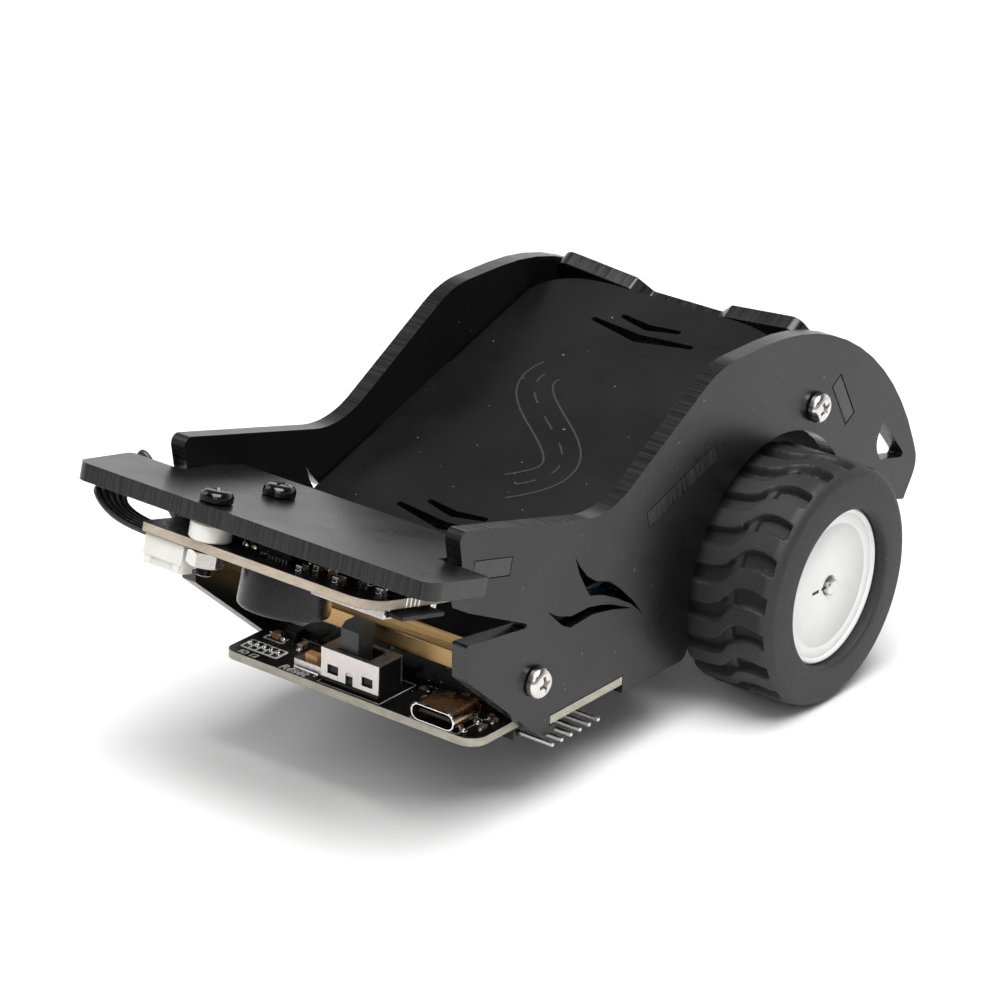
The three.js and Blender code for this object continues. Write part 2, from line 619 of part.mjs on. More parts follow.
function ovalPrism(width, height, y0, y1) {
  const radius = height / 2 - 0.02;
  const shape = outline([
    [-width / 2, -height / 2, radius],
    [width / 2, -height / 2, radius],
    [width / 2, height / 2, radius],
    [-width / 2, height / 2, radius],
  ]);
  const geometry = extrude(shape, y1 - y0, 6);
  geometry.rotateX(Math.PI / 2);
  geometry.translate(USB.x, y1, USB.lift + USB.height / 2);
  return geometry;
}
const usbMiddle = USB.lift + USB.height / 2;
const usbShell = cut(ovalPrism(USB.width, USB.height, USB.front, USB.back),
  ovalPrism(USB.width - 2 * USB.wall, USB.height - 2 * USB.wall, USB.front - 1, USB.back - 1));
const usbTongue = box(USB.x - 3.3, USB.x + 3.3, USB.front + 0.9, USB.back - 0.5,
  usbMiddle - 0.35, usbMiddle + 0.35);
add('usb_socket', join(usbShell, usbTongue), materials.steel);

// ---- pin header under the right edge of the board ----
const HEADER = { first: 14, pitch: 2.54, count: 6, z: -3.85, tip: 32.3, body0: 22.6, body1: 25.1, pin: 0.64 };
const headerEnd = HEADER.first + HEADER.pitch * (HEADER.count - 1);
const stripTop = -BOARD_THICK - CLEAR;
const stripBottom = HEADER.z - 1.1;
const spineX = HEADER.body0 + 0.5;
const strip = cut(
  box(HEADER.body0, HEADER.body1, HEADER.first - 1.27, headerEnd + 1.27, stripBottom, stripTop),
  box(HEADER.body0 - 1, spineX + 0.62, HEADER.first - 0.62, headerEnd + 0.62, HEADER.z - 0.62, HEADER.z + 0.62),
  ...Array.from({ length: HEADER.count }, (_, i) => box(HEADER.body0, HEADER.body1 + 1,
    HEADER.first + i * HEADER.pitch - 0.5, HEADER.first + i * HEADER.pitch + 0.5,
    HEADER.z - 0.5, HEADER.z + 0.5)));
add('header_strip', strip, materials.blackPlastic);
const halfPin = HEADER.pin / 2;
const pins = join(
  box(spineX - halfPin, spineX + halfPin, HEADER.first - halfPin, headerEnd + halfPin,
    HEADER.z - halfPin, HEADER.z + halfPin),
  ...Array.from({ length: HEADER.count }, (_, i) => box(spineX - halfPin, HEADER.tip,
    HEADER.first + i * HEADER.pitch - halfPin, HEADER.first + i * HEADER.pitch + halfPin,
    HEADER.z - halfPin, HEADER.z + halfPin)));
add('header_pins', pins, materials.steel);

// ---- controller chip ----
add('controller_chip', box(-4, 6, 60, 70, CLEAR, 1.3), materials.blackPlastic);

// ---- line sensors looking down at the track ----
const SENSOR_NAMES = ['left', 'centre', 'right'];
SENSOR_NAMES.forEach((side, index) => {
  const x = (index - 1) * 12;
  const top = -BOARD_THICK - CLEAR;
  const body = cut(box(x - 2.9, x + 2.9, 22, 32.2, top - 7, top),
    barZ(1.5, x, 24.6, top - 8, top - 6.2, 16),
    barZ(1.5, x, 29.6, top - 8, top - 6.2, 16));
  add(`line_sensor_${side}`, body, materials.blackPlastic);
});

// ---- standoffs and their screws ----
for (const [where, spot] of [['front', FRONT_STANDOFF], ['rear', REAR_STANDOFF]]) {
  const half = INNER_HALF - CLEAR;
  const bar = cut(barX(3.17, -half, half, spot.y, spot.z, 6),
    barX(1.6, half - 7, half + 1, spot.y, spot.z, 20),
    barX(1.6, -half - 1, -half + 7, spot.y, spot.z, 20));
  add(`brass_standoff_${where}`, bar, materials.brass);
  const screw = panScrew(8);
  screw.rotateY(Math.PI / 2);
  screw.translate(CHASSIS_HALF + CLEAR, spot.y, spot.z);
  add(`standoff_screw_${where}_right`, screw, materials.steel);
  add(`standoff_screw_${where}_left`, mirrored(screw), materials.steel);
}

// ---- battery tray and two cells lying across the chassis ----
const CELL = { radius: 7, half: 24.8, ys: [33, 47.6], z: 8.8 };
const TRAY = { y0: 25, y1: 55.5, floor: 0.15, base: 1.4, wall: 14, half: 26.4, thick: 1.2 };
const tray = join(
  box(-TRAY.half, TRAY.half, TRAY.y0, TRAY.y1, TRAY.floor, TRAY.base),
  box(TRAY.half - TRAY.thick, TRAY.half, TRAY.y0, TRAY.y1, TRAY.floor, TRAY.wall),
  box(-TRAY.half, -TRAY.half + TRAY.thick, TRAY.y0, TRAY.y1, TRAY.floor, TRAY.wall));
add('battery_tray', tray, materials.blackPlastic);
CELL.ys.forEach((y, index) => {
  const profile = [
    [0, -CELL.half],
    [CELL.radius - 0.4, -CELL.half],
    [CELL.radius, -CELL.half + 0.4],
    [CELL.radius, CELL.half - 2.2],
    [CELL.radius - 0.4, CELL.half - 1.8],
    [2.6, CELL.half - 1.8],
    [2.6, CELL.half],
    [0, CELL.half],
  ].map(([r, x]) => new THREE.Vector2(r, x));
  const cell = new THREE.LatheGeometry(profile, 28);
  cell.rotateZ(index === 0 ? Math.PI / 2 : -Math.PI / 2);
  cell.translate(0, y, CELL.z);
  add(`battery_cell_${index + 1}`, cell, materials.blueWrap);
});

// ---- drive units: motor, gearbox, shaft, bracket, hub and tyre (drawn for the right side) ----
const BORE_RADIUS = HUB_RADIUS + GAP;
const TYRE_INNER_X = TYRE_FACE_X - TYRE_WIDTH;
const LUGS = 16;

function gearbox() {
  const body = box(MOTOR_FACE_X - GEARBOX_LENGTH, MOTOR_FACE_X, AXLE.y - 6, AXLE.y + 6, AXLE.z - 5, AXLE.z + 5);
  return cut(body, barX(SHAFT_RADIUS + GAP, MOTOR_FACE_X - 4, MOTOR_FACE_X + 1, AXLE.y, AXLE.z, 20));
}

function motorCan() {
  const x1 = MOTOR_FACE_X - GEARBOX_LENGTH - GAP;
  const x0 = x1 - CAN_LENGTH;
  const round = toSolid(barX(6, x0, x1, AXLE.y, AXLE.z, 40));
  const flats = toSolid(box(x0 - 1, x1 + 1, AXLE.y - 7, AXLE.y + 7, AXLE.z - 5, AXLE.z + 5));
  const boss = barX(2.2, x0 - 0.9, x0 + 1, AXLE.y, AXLE.z, 20);
  return join(fromSolid(round.intersect(flats)), boss);
}

function shaft() {
  const x0 = MOTOR_FACE_X - 3.5;
  const x1 = HUB_FACE_X + 1;
  const flat = box(MOTOR_FACE_X + 1.5, x1 + 1, AXLE.y - 2, AXLE.y + 2, AXLE.z + 1, AXLE.z + 3);
  return cut(barX(SHAFT_RADIUS, x0, x1, AXLE.y, AXLE.z, 28), flat);
}

function bracket() {
  const x0 = 11;
  const x1 = 20.5;
  const inner = 6 + GAP;
  const outer = inner + 1.8;
  const feet = outer + 4.5;
  const loop = cut(
    box(x0, x1, AXLE.y - outer, AXLE.y + outer, CLEAR, AXLE.z + 5 + GAP + 1.6),
    box(x0 - 1, x1 + 1, AXLE.y - inner, AXLE.y + inner, AXLE.z - 5 - CLEAR, AXLE.z + 5 + GAP));
  const foot = box(x0, x1, AXLE.y - feet, AXLE.y + feet, CLEAR, 0.75);
  const heels = join(
    box(x0, x1, AXLE.y - feet, AXLE.y - outer + 0.5, CLEAR, 2.4),
    box(x0, x1, AXLE.y - feet, AXLE.y + feet, CLEAR, 0.75),
    box(x0, x1, AXLE.y + outer - 0.5, AXLE.y + feet, CLEAR, 2.4));
  return join(loop, foot, heels);
}

function hub() {
  const x1 = HUB_FACE_X;
  const profile = [
    [SHAFT_RADIUS + 0.25, 0],
    [SHAFT_RADIUS + 0.25, 8.2],
    [3.4, 8.2],
    [3.4, 1.8],
    [HUB_RADIUS - 1.3, 1.8],
    [HUB_RADIUS - 1.3, TYRE_WIDTH - 3.2],
    [HUB_RADIUS, TYRE_WIDTH - 3.2],
    [HUB_RADIUS, -0.5],
    [HUB_RADIUS - 1.2, -0.5],
    [HUB_RADIUS - 1.6, 0],
    [SHAFT_RADIUS + 0.25, 0],
  ].map(([r, inward]) => new THREE.Vector2(r, inward)).reverse();
  const body = new THREE.LatheGeometry(profile, 40);
  body.rotateZ(Math.PI / 2);
  body.translate(x1, AXLE.y, AXLE.z);
  return body;
}

// Lug grooves sit in two staggered rows, one on each shoulder of the tread.
function tyre() {
  const shoulder = 2.2;
  const profile = [
    [BORE_RADIUS, 0],
    [BORE_RADIUS, TYRE_WIDTH],
    [TYRE_RADIUS - shoulder, TYRE_WIDTH],
    [TYRE_RADIUS - shoulder * 0.3, TYRE_WIDTH - shoulder * 0.3],
    [TYRE_RADIUS, TYRE_WIDTH - shoulder],
    [TYRE_RADIUS, shoulder],
    [TYRE_RADIUS - shoulder * 0.3, shoulder * 0.3],
    [TYRE_RADIUS - shoulder, 0],
    [BORE_RADIUS, 0],
  ].map(([r, along]) => new THREE.Vector2(r, along)).reverse();
  let solid = toSolid(new THREE.LatheGeometry(profile, 48));
  const grooveDepth = 2;
  for (let i = 0; i < LUGS * 2; i += 1) {
    const outerRow = i % 2 === 0;
    const groove = box(-1, 1, -4.4, 4.4, TYRE_RADIUS - grooveDepth, TYRE_RADIUS + 2);
    groove.rotateZ(outerRow ? 0.35 : -0.35);
    groove.translate(0, outerRow ? 4.6 : TYRE_WIDTH - 4.6, 0);
    groove.rotateY(i * Math.PI / LUGS);
    solid = solid.subtract(toSolid(groove));
  }
  const body = fromSolid(solid);
  body.rotateZ(-Math.PI / 2);
  body.translate(TYRE_INNER_X, AXLE.y, AXLE.z);
  return body;
}

const drivePieces = [
  ['gearbox', gearbox(), materials.brass],
  ['motor_can', motorCan(), materials.steel],
  ['motor_shaft', shaft(), materials.steel],
  ['motor_bracket', bracket(), materials.whitePlastic],
  ['wheel_hub', hub(), materials.whitePlastic],
  ['wheel_tyre', tyre(), materials.rubber],
];
for (const [name, geometry, material] of drivePieces) {
  add(`${name}_right`, geometry, material);
  add(`${name}_left`, mirrored(geometry), material);
}

// ---- ball caster ----
const CASTER = { y: 42, ball: 6 };
const ballZ = GROUND_Z + CASTER.ball;
const casterTop = -BOARD_THICK - CLEAR;
const casterProfile = [
  [0, casterTop],
  [8.4, casterTop],
  [8.4, casterTop - 1.6],
  [7.6, casterTop - 1.6],
  [7.6, ballZ - 1.2],
  [0, ballZ - 1.2],
].map(([r, z]) => new THREE.Vector2(r, z)).reverse();
const casterBody = new THREE.LatheGeometry(casterProfile, 28);
casterBody.rotateX(Math.PI / 2);
casterBody.translate(0, CASTER.y, 0);
const casterCup = new THREE.SphereGeometry(CASTER.ball + GAP, 20, 12);
casterCup.translate(0, CASTER.y, ballZ);
add('caster_housing', cut(casterBody, casterCup), materials.blackPlastic);
const casterBall = new THREE.SphereGeometry(CASTER.ball, 24, 14);
casterBall.translate(0, CASTER.y, ballZ);
add('caster_ball', casterBall, materials.steel);

// ---- put the ground at z = 0 and the middle of the robot at x = y = 0 ----
for (const mesh of robot.children) {
  mesh.geometry.translate(0, -MIDDLE_Y, -GROUND_Z);
}

export default robot;
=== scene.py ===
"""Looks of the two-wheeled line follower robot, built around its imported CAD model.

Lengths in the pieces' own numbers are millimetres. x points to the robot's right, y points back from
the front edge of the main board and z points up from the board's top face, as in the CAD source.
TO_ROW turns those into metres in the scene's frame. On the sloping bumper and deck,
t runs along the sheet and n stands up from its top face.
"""
import json
import math
import random

import bmesh
import bpy
from mathutils import Matrix, Vector


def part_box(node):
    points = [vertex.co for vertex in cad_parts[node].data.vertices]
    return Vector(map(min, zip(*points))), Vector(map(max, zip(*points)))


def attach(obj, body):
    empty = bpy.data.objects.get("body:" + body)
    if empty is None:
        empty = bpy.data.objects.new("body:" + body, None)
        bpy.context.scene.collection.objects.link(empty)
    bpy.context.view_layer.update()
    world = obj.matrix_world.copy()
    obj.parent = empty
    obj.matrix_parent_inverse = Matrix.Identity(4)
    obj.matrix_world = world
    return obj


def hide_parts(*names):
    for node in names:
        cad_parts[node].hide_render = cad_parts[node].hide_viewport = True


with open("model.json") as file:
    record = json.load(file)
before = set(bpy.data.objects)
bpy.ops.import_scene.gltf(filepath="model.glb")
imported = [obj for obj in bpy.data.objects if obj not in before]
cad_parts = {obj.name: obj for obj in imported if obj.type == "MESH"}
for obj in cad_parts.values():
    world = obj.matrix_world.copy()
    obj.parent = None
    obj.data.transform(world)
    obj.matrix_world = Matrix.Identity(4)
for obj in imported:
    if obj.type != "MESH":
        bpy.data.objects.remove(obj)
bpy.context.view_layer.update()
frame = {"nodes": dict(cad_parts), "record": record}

MM = 0.001
TURN = 2 * math.pi
BOARD_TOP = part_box("main_board")[1].z / MM
BOARD_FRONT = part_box("main_board")[0].y / MM
BOARD_THICK = 1.6
SHEET = 3.0
PLATE_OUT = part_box("right_side_plate")[1].x / MM
CLEAR = 0.15
TO_ROW = Matrix.Scale(MM, 4) @ Matrix.Translation((0, BOARD_FRONT, BOARD_TOP))

BUMPER_SLOPE = math.radians(14)
BUMPER_START = (0, -27, 40.2)
DECK_SLOPE = math.radians(18.6)
DECK_START = (0, 50, 31.3)
REAR_SLOPE = math.radians(58.3)
BUMPER_AXES = Matrix.Translation(BUMPER_START) @ Matrix.Rotation(-BUMPER_SLOPE, 4, "X")
DECK_AXES = Matrix.Translation(DECK_START) @ Matrix.Rotation(DECK_SLOPE, 4, "X")
SENSOR_TOP = -6.3
UNDER_SENSOR = SENSOR_TOP - BOARD_THICK
BUMPER_SCREW_X = -9.0
BUMPER_SCREWS_T = (3.8, 19.8)

AXLE_Y, AXLE_Z = 79.5, 6.0
TYRE_RADIUS = 21.8
TYRE_FACE = 44.9
TYRE_WIDTH = 19.4
HUB_RADIUS = 14.2
HUB_FACE = 42.5
SHAFT_RADIUS = 1.5
MOTOR_FACE = 31.4
AXLE = Matrix.Translation((0, AXLE_Y, AXLE_Z))
LUGS = 20

# Housings of the two connectors, as x0, x1, y0, y1, z0, z1; the upper one in the bumper's own axes.
CABLE_SOCKET = (-20.4, -12.2, 1.8, 5.0, UNDER_SENSOR - CLEAR - 4.9, UNDER_SENSOR - CLEAR)
LOWER_SOCKET = (-25.4, -22.0, 15.0, 23.6, CLEAR, 5.6)
PLUG_LENGTH = 2.3
STRANDS = 5
STRAND_PITCH = 1.2
STRAND_RADIUS = 0.6

CAMERA_ANGLES = (36.42, 23.11, 2.42)
CAMERA_SPOT = (396.7, -497.4, 307.3)
CAMERA_LENS = 153.7


# ---------------------------------------------------------------- materials
class Surface:
    """A Principled material whose colour, roughness and bump come from procedural noise."""

    def __init__(self, name, roughness, metallic=0.0, coat=0.0, specular=0.5):
        self.material = bpy.data.materials.new(name)
        self.material.use_nodes = True
        self.tree = self.material.node_tree
        self.shader = self.tree.nodes["Principled BSDF"]
        self.shader.inputs["Roughness"].default_value = roughness
        self.shader.inputs["Metallic"].default_value = metallic
        self.shader.inputs["Coat Weight"].default_value = coat
        self.shader.inputs["Specular IOR Level"].default_value = specular
        self.shader.inputs["Coat Roughness"].default_value = 0.12
        self.point = self.add("ShaderNodeTexCoord").outputs["Object"]
        self.normal = None

    def add(self, kind, **values):
        node = self.tree.nodes.new(kind)
        for key, value in values.items():
            setattr(node, key, value)
        return node

    def link(self, output, node, socket):
        self.tree.links.new(output, node.inputs[socket])

    def mapped(self, stretch=(1, 1, 1), turn=0.0):
        """Coordinates turned about X by -turn, so that a sloping plate's own axes line up, then stretched."""
        turned = self.add("ShaderNodeMapping")
        turned.inputs["Rotation"].default_value = (-turn, 0, 0)
        self.link(self.point, turned, "Vector")
        stretched = self.add("ShaderNodeMapping")
        stretched.inputs["Scale"].default_value = stretch
        self.link(turned.outputs["Vector"], stretched, "Vector")
        return stretched.outputs["Vector"]

    def noise(self, scale, detail=3.0, rough=0.55, stretch=(1, 1, 1), turn=0.0):
        node = self.add("ShaderNodeTexNoise")
        node.inputs["Scale"].default_value = scale
        node.inputs["Detail"].default_value = detail
        node.inputs["Roughness"].default_value = rough
        self.link(self.mapped(stretch, turn), node, "Vector")
        return node.outputs["Fac"]

    def ramp(self, value, stops):
        node = self.add("ShaderNodeValToRGB")
        elements = node.color_ramp.elements
        while len(elements) < len(stops):
            elements.new(0.5)
        for element, (position, color) in zip(elements, stops):
            element.position = position
            element.color = (*color, 1)
        self.link(value, node, "Fac")
        return node.outputs["Color"]

    def span(self, value, low, high):
        """Spreads the middle of a noise's values over low to high."""
        node = self.add("ShaderNodeMapRange")
        for socket, number in (("From Min", 0.3), ("From Max", 0.7), ("To Min", low), ("To Max", high)):
            node.inputs[socket].default_value = number
        self.link(value, node, "Value")
        return node.outputs["Result"]

    def mix(self, factor, first, second):
        node = self.add("ShaderNodeMix", data_type="RGBA")
        self.link(factor, node, 0)
        for socket, color in ((6, first), (7, second)):
            if isinstance(color, tuple):
                node.inputs[socket].default_value = (*color, 1)
            else:
                self.link(color, node, socket)
        return node.outputs[2]

    def color(self, output):
        self.link(output, self.shader, "Base Color")

    def rough(self, output):
        self.link(output, self.shader, "Roughness")

    def bump(self, height, strength, distance):
        node = self.add("ShaderNodeBump")
        node.inputs["Strength"].default_value = strength
        node.inputs["Distance"].default_value = distance
        self.link(height, node, "Height")
        if self.normal is not None:
            self.link(self.normal, node, "Normal")
        self.normal = node.outputs["Normal"]
        self.link(self.normal, self.shader, "Normal")


def scaled(color, factor):
    return tuple(min(1.0, part * factor) for part in color)


def mottled(name, color, roughness, metallic=0.0, spread=0.18, patch=140.0, grain=1600.0,
            grain_depth=0.00002, rough_spread=0.1, specular=0.5):
    """Everyday moulded or machined surface: uneven tone, uneven sheen and a fine grain."""
    surface = Surface(name, roughness, metallic, specular=specular)
    tone = surface.noise(patch, 4, 0.6)
    surface.color(surface.ramp(tone, [(0.3, scaled(color, 1 - spread)), (0.7, scaled(color, 1 + spread))]))
    fine = surface.noise(grain, 2, 0.6)
    surface.rough(surface.span(fine, roughness - rough_spread, roughness + rough_spread))
    surface.bump(fine, 0.35, grain_depth)
    return surface.material


def sheet_face(name, turn=0.0, specular=0.5):
    """Black acrylic sheet: satin, with dust specks and hair-fine scratches."""
    surface = Surface(name, 0.3, specular=specular)
    tone = surface.noise(35, 3, 0.5, turn=turn)
    base = surface.ramp(tone, [(0.3, (0.0032, 0.0032, 0.0033)), (0.7, (0.0052, 0.0051, 0.0052))])
    specks = surface.ramp(surface.noise(1150, 1, 0.4), [(0.785, (0, 0, 0)), (0.83, (0.4, 0.4, 0.4))])
    surface.color(surface.mix(specks, base, (0.42, 0.4, 0.38)))
    haze = surface.noise(60, 5, 0.65, turn=turn)
    surface.rough(surface.span(haze, 0.24, 0.36))
    scratches = surface.noise(90, 2, 0.5, stretch=(1, 26, 26), turn=turn)
    surface.bump(scratches, 0.05, 0.00002)
    return surface.material


def sheet_edge(name, across="X", turn=0.0, depth=0.12, high=0.0095):
    """Laser-cut edge of the sheet: glossy, with fine ridges running through the thickness."""
    surface = Surface(name, 0.22)
    stretch = (0.02, 1, 1) if across == "X" else (1, 1, 0.02)
    ridges = surface.noise(1900, 2, 0.6, stretch, turn)
    waves = surface.noise(700, 2, 0.5, stretch, turn)
    surface.color(surface.ramp(ridges, [(0.35, (0.004, 0.004, 0.004)), (0.7, (high, high, high))]))
    surface.rough(surface.span(ridges, 0.2, 0.36))
    surface.bump(ridges, depth, 0.00003)
    surface.bump(waves, 0.15, 0.00003)
    return surface.material


def solder_mask(name, turn=0.0):
    """Black board lacquer over copper: faint raised tracks, even gloss."""
    surface = Surface(name, 0.3, specular=0.3)
    tracks = surface.add("ShaderNodeTexBrick")
    tracks.inputs["Scale"].default_value = 420
    tracks.inputs["Mortar Size"].default_value = 0.12
    tracks.inputs["Brick Width"].default_value = 2.6
    tracks.inputs["Row Height"].default_value = 0.62
    surface.link(surface.mapped((1, 1, 1), turn), tracks, "Vector")
    tone = surface.noise(150, 3)
    dark = surface.ramp(tone, [(0.3, (0.0045, 0.0045, 0.0047)), (0.7, (0.008, 0.008, 0.008))])
    surface.color(surface.mix(tracks.outputs["Fac"], (0.010, 0.0104, 0.0104), dark))
    surface.rough(surface.span(surface.noise(700, 2), 0.24, 0.4))
    surface.bump(tracks.outputs["Fac"], 0.25, 0.00003)
    return surface.material


def board_edge(name, low, high):
    """Cut edge of the glass-fibre board: pale and cloudy."""
    surface = Surface(name, 0.6)
    layers = surface.noise(600, 3, 0.7, (0.6, 0.6, 1.6))
    surface.color(surface.ramp(layers, [(0.3, low), (0.7, high)]))
    surface.rough(surface.span(layers, 0.5, 0.72))
    surface.bump(layers, 0.3, 0.00004)
    return surface.material


def tyre_rubber():
    surface = Surface("tyre_rubber", 0.62)
    tone = surface.noise(90, 4, 0.6)
    base = surface.ramp(tone, [(0.3, (0.013, 0.013, 0.013)), (0.7, (0.02, 0.0197, 0.0193))])
    dust = surface.ramp(surface.noise(1500, 2, 0.5), [(0.72, (0, 0, 0)), (0.78, (0.5, 0.5, 0.5))])
    surface.color(surface.mix(dust, base, (0.2, 0.19, 0.17)))
    grain = surface.noise(2300, 3, 0.6)
    surface.rough(surface.span(grain, 0.5, 0.72))
    surface.bump(grain, 0.3, 0.00004)
    return surface.material


def brushed_brass():
    surface = Surface("brushed_brass", 0.3, 1.0)
    lines = surface.noise(500, 3, 0.6, (0.05, 2, 2))
    surface.color(surface.ramp(lines, [(0.3, (0.36, 0.235, 0.10)), (0.7, (0.47, 0.31, 0.14))]))
    surface.rough(surface.span(lines, 0.22, 0.42))
    surface.bump(lines, 0.15, 0.00001)
    return surface.material


def shrink_wrap():
    surface = Surface("shrink_wrap", 0.22, coat=0.4)
    tone = surface.noise(120, 3)
    # The cells' own blue, darkened further as painted shade for the dim inside of the chassis.
    surface.color(surface.ramp(tone, [(0.3, (0.002, 0.026, 0.10)), (0.7, (0.004, 0.05, 0.19))]))
    wrinkles = surface.noise(260, 2, 0.5, (0.25, 1, 1))
    surface.bump(wrinkles, 0.25, 0.0001)
    surface.rough(surface.span(wrinkles, 0.16, 0.32))
    return surface.material


ACRYLIC = sheet_face("acrylic_face", specular=0.35)
ACRYLIC_EDGE_SIDE = sheet_edge("acrylic_edge_side", "X")
ACRYLIC_BUMPER = sheet_face("acrylic_bumper", -BUMPER_SLOPE, 0.7)
ACRYLIC_EDGE_BUMPER = sheet_edge("acrylic_edge_bumper", "Z", -BUMPER_SLOPE, 0.22, 0.013)
ACRYLIC_DECK = sheet_face("acrylic_deck", DECK_SLOPE)
ACRYLIC_EDGE_DECK = sheet_edge("acrylic_edge_deck", "Z", DECK_SLOPE)
ACRYLIC_REAR = sheet_face("acrylic_rear", -REAR_SLOPE, 0.28)
ACRYLIC_EDGE_REAR = sheet_edge("acrylic_edge_rear", "Z", -REAR_SLOPE)
MASK = solder_mask("solder_mask")
SENSOR_MASK = solder_mask("sensor_solder_mask", -BUMPER_SLOPE)
BOARD_EDGE = board_edge("board_edge", (0.33, 0.31, 0.235), (0.49, 0.47, 0.385))
SENSOR_EDGE = board_edge("sensor_board_edge", (0.33, 0.27, 0.20), (0.47, 0.40, 0.32))
RUBBER = tyre_rubber()
BRASS = brushed_brass()
WRAP = shrink_wrap()
WHITE_HUB = mottled("hub_plastic", (0.82, 0.82, 0.81), 0.38, spread=0.03, rough_spread=0.05)
NYLON = mottled("nylon", (0.66, 0.65, 0.60), 0.42, spread=0.05, patch=300)
SILKSCREEN = mottled("silkscreen", (0.72, 0.72, 0.70), 0.6, spread=0.12, patch=2500)
BLACK_PLASTIC = mottled("black_plastic", (0.009, 0.009, 0.0093), 0.42, patch=400, specular=0.3)
GLOSS_BLACK = mottled("gloss_black_plastic", (0.007, 0.007, 0.0072), 0.26, patch=300, rough_spread=0.06,
                      grain_depth=0.000005, specular=0.28)
GREY_PLASTIC = mottled("lever_plastic", (0.036, 0.038, 0.038), 0.48, patch=500)
STEEL = mottled("bright_steel", (0.66, 0.64, 0.61), 0.2, 1.0, spread=0.08, patch=350, rough_spread=0.07)
TINPLATE = mottled("tinplate", (0.60, 0.56, 0.54), 0.3, 1.0, spread=0.1, patch=220, grain=900,
                   grain_depth=0.000006)
SWITCH_TIN = mottled("switch_tin", (0.60, 0.56, 0.54), 0.3, 1.0, spread=0.03, patch=300, grain=900,
                     grain_depth=0.000003, rough_spread=0.04)
USB_STEEL = mottled("socket_steel", (0.38, 0.27, 0.19), 0.26, 1.0, spread=0.05, patch=160, grain=700,
                    grain_depth=0.000004)
POLISHED = mottled("polished_rim", (0.86, 0.84, 0.82), 0.14, 1.0, spread=0.04, patch=200, grain=700,
                   grain_depth=0.000003, rough_spread=0.04)
SOLDER = mottled("solder", (0.70, 0.69, 0.67), 0.18, 1.0, spread=0.1, patch=900, grain=2500)
GOLD_PAD = mottled("gold_pad", (0.78, 0.57, 0.24), 0.3, 1.0, spread=0.1, patch=900)
BLACK_SCREW = mottled("black_screw", (0.045, 0.044, 0.043), 0.16, 1.0, spread=0.2, patch=400,
                      rough_spread=0.05)
CERAMIC_TAN = mottled("ceramic_tan", (0.30, 0.16, 0.075), 0.4, spread=0.15, patch=900)
SMALL_PARTS = [BLACK_PLASTIC, SOLDER, CERAMIC_TAN]
CAP_TAN = mottled("cap_tan", (0.52, 0.28, 0.11), 0.45, spread=0.12, patch=900)
CABLE = mottled("cable_skin", (0.017, 0.017, 0.0172), 0.32, patch=500, grain=2200)
ENGRAVED = mottled("engraved_line", (0.02, 0.0196, 0.019), 0.75, spread=0.25, patch=2000, grain=4000)


# ---------------------------------------------------------------- mesh helpers
def finish_object(name, bm, materials, body="chassis", axes=None, angle=32, in_row=False, node=None):
    """Turns a bmesh into a named piece that rides on a CAD body, in place of a CAD node if one is given."""
    if axes is not None:
        bmesh.ops.transform(bm, matrix=axes, verts=bm.verts)
    if not in_row:
        bmesh.ops.transform(bm, matrix=TO_ROW, verts=bm.verts)
    mesh = bpy.data.meshes.new(name)
    bm.to_mesh(mesh)
    bm.free()
    for material in materials:
        mesh.materials.append(material)
    mesh.polygons.foreach_set("use_smooth", [True] * len(mesh.polygons))
    mesh.set_sharp_from_angle(angle=math.radians(angle))
    piece = bpy.data.objects.new(name, mesh)
    bpy.context.scene.collection.objects.link(piece)
    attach(piece, body)
    if node:
        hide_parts(node)
    return piece


def even_shading(piece):
    """Bakes normals weighted by face area, so that flat faces stay flat beside their bevels."""
    modifier = piece.modifiers.new("even", "WEIGHTED_NORMAL")
    modifier.keep_sharp = True
    modifier.weight = 90
    bpy.context.view_layer.update()
    mesh = bpy.data.meshes.new_from_object(piece.evaluated_get(bpy.context.evaluated_depsgraph_get()))
    piece.modifiers.clear()
    mesh.name = piece.name
    piece.data = mesh


def body_of_node(node):
    return next(body for body, nodes in frame["record"]["behaviour"]["bodies"].items() if node in nodes)


def refined(node, materials, bevel=0.12, choose=None, segments=2):
    """Bevelled copy of a CAD node, which it replaces. choose(normal) picks a face's material."""
    bm = bmesh.new()
    bm.from_mesh(frame["nodes"][node].data)
    bmesh.ops.remove_doubles(bm, verts=bm.verts, dist=1e-6)
    bmesh.ops.dissolve_limit(bm, angle_limit=math.radians(1), verts=bm.verts, edges=bm.edges)
    sharp = [e for e in bm.edges if len(e.link_faces) == 2 and e.calc_face_angle(0) > math.radians(40)]
    if choose:
        bm.normal_update()
        for face in bm.faces:
            face.material_index = choose(face.normal)
    bmesh.ops.bevel(bm, geom=sharp, offset=bevel * MM, segments=segments, profile=0.6, affect="EDGES",
                    clamp_overlap=True)
    piece = finish_object(f"{node}_skin", bm, materials, body_of_node(node), angle=60,
                          in_row=True)
    even_shading(piece)
    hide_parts(node)


def along(axis):
    """Chooser that gives material 0 to faces across this axis and 1 to the rest."""
    axis = Vector(axis).normalized()
    return lambda normal: 0 if abs(normal.dot(axis)) > 0.9 else 1


def circle(radius, count, start=0.0):
    """Points (u, v) evenly round a circle."""
    angles = [TURN * (k + start) / count for k in range(count)]
    return [(radius * math.cos(angle), radius * math.sin(angle)) for angle in angles]


def sideways(sign):
    """Axes whose z points towards +X, or towards -X if sign is -1."""
    return Matrix.Rotation(math.radians(90 * sign), 4, "Y")


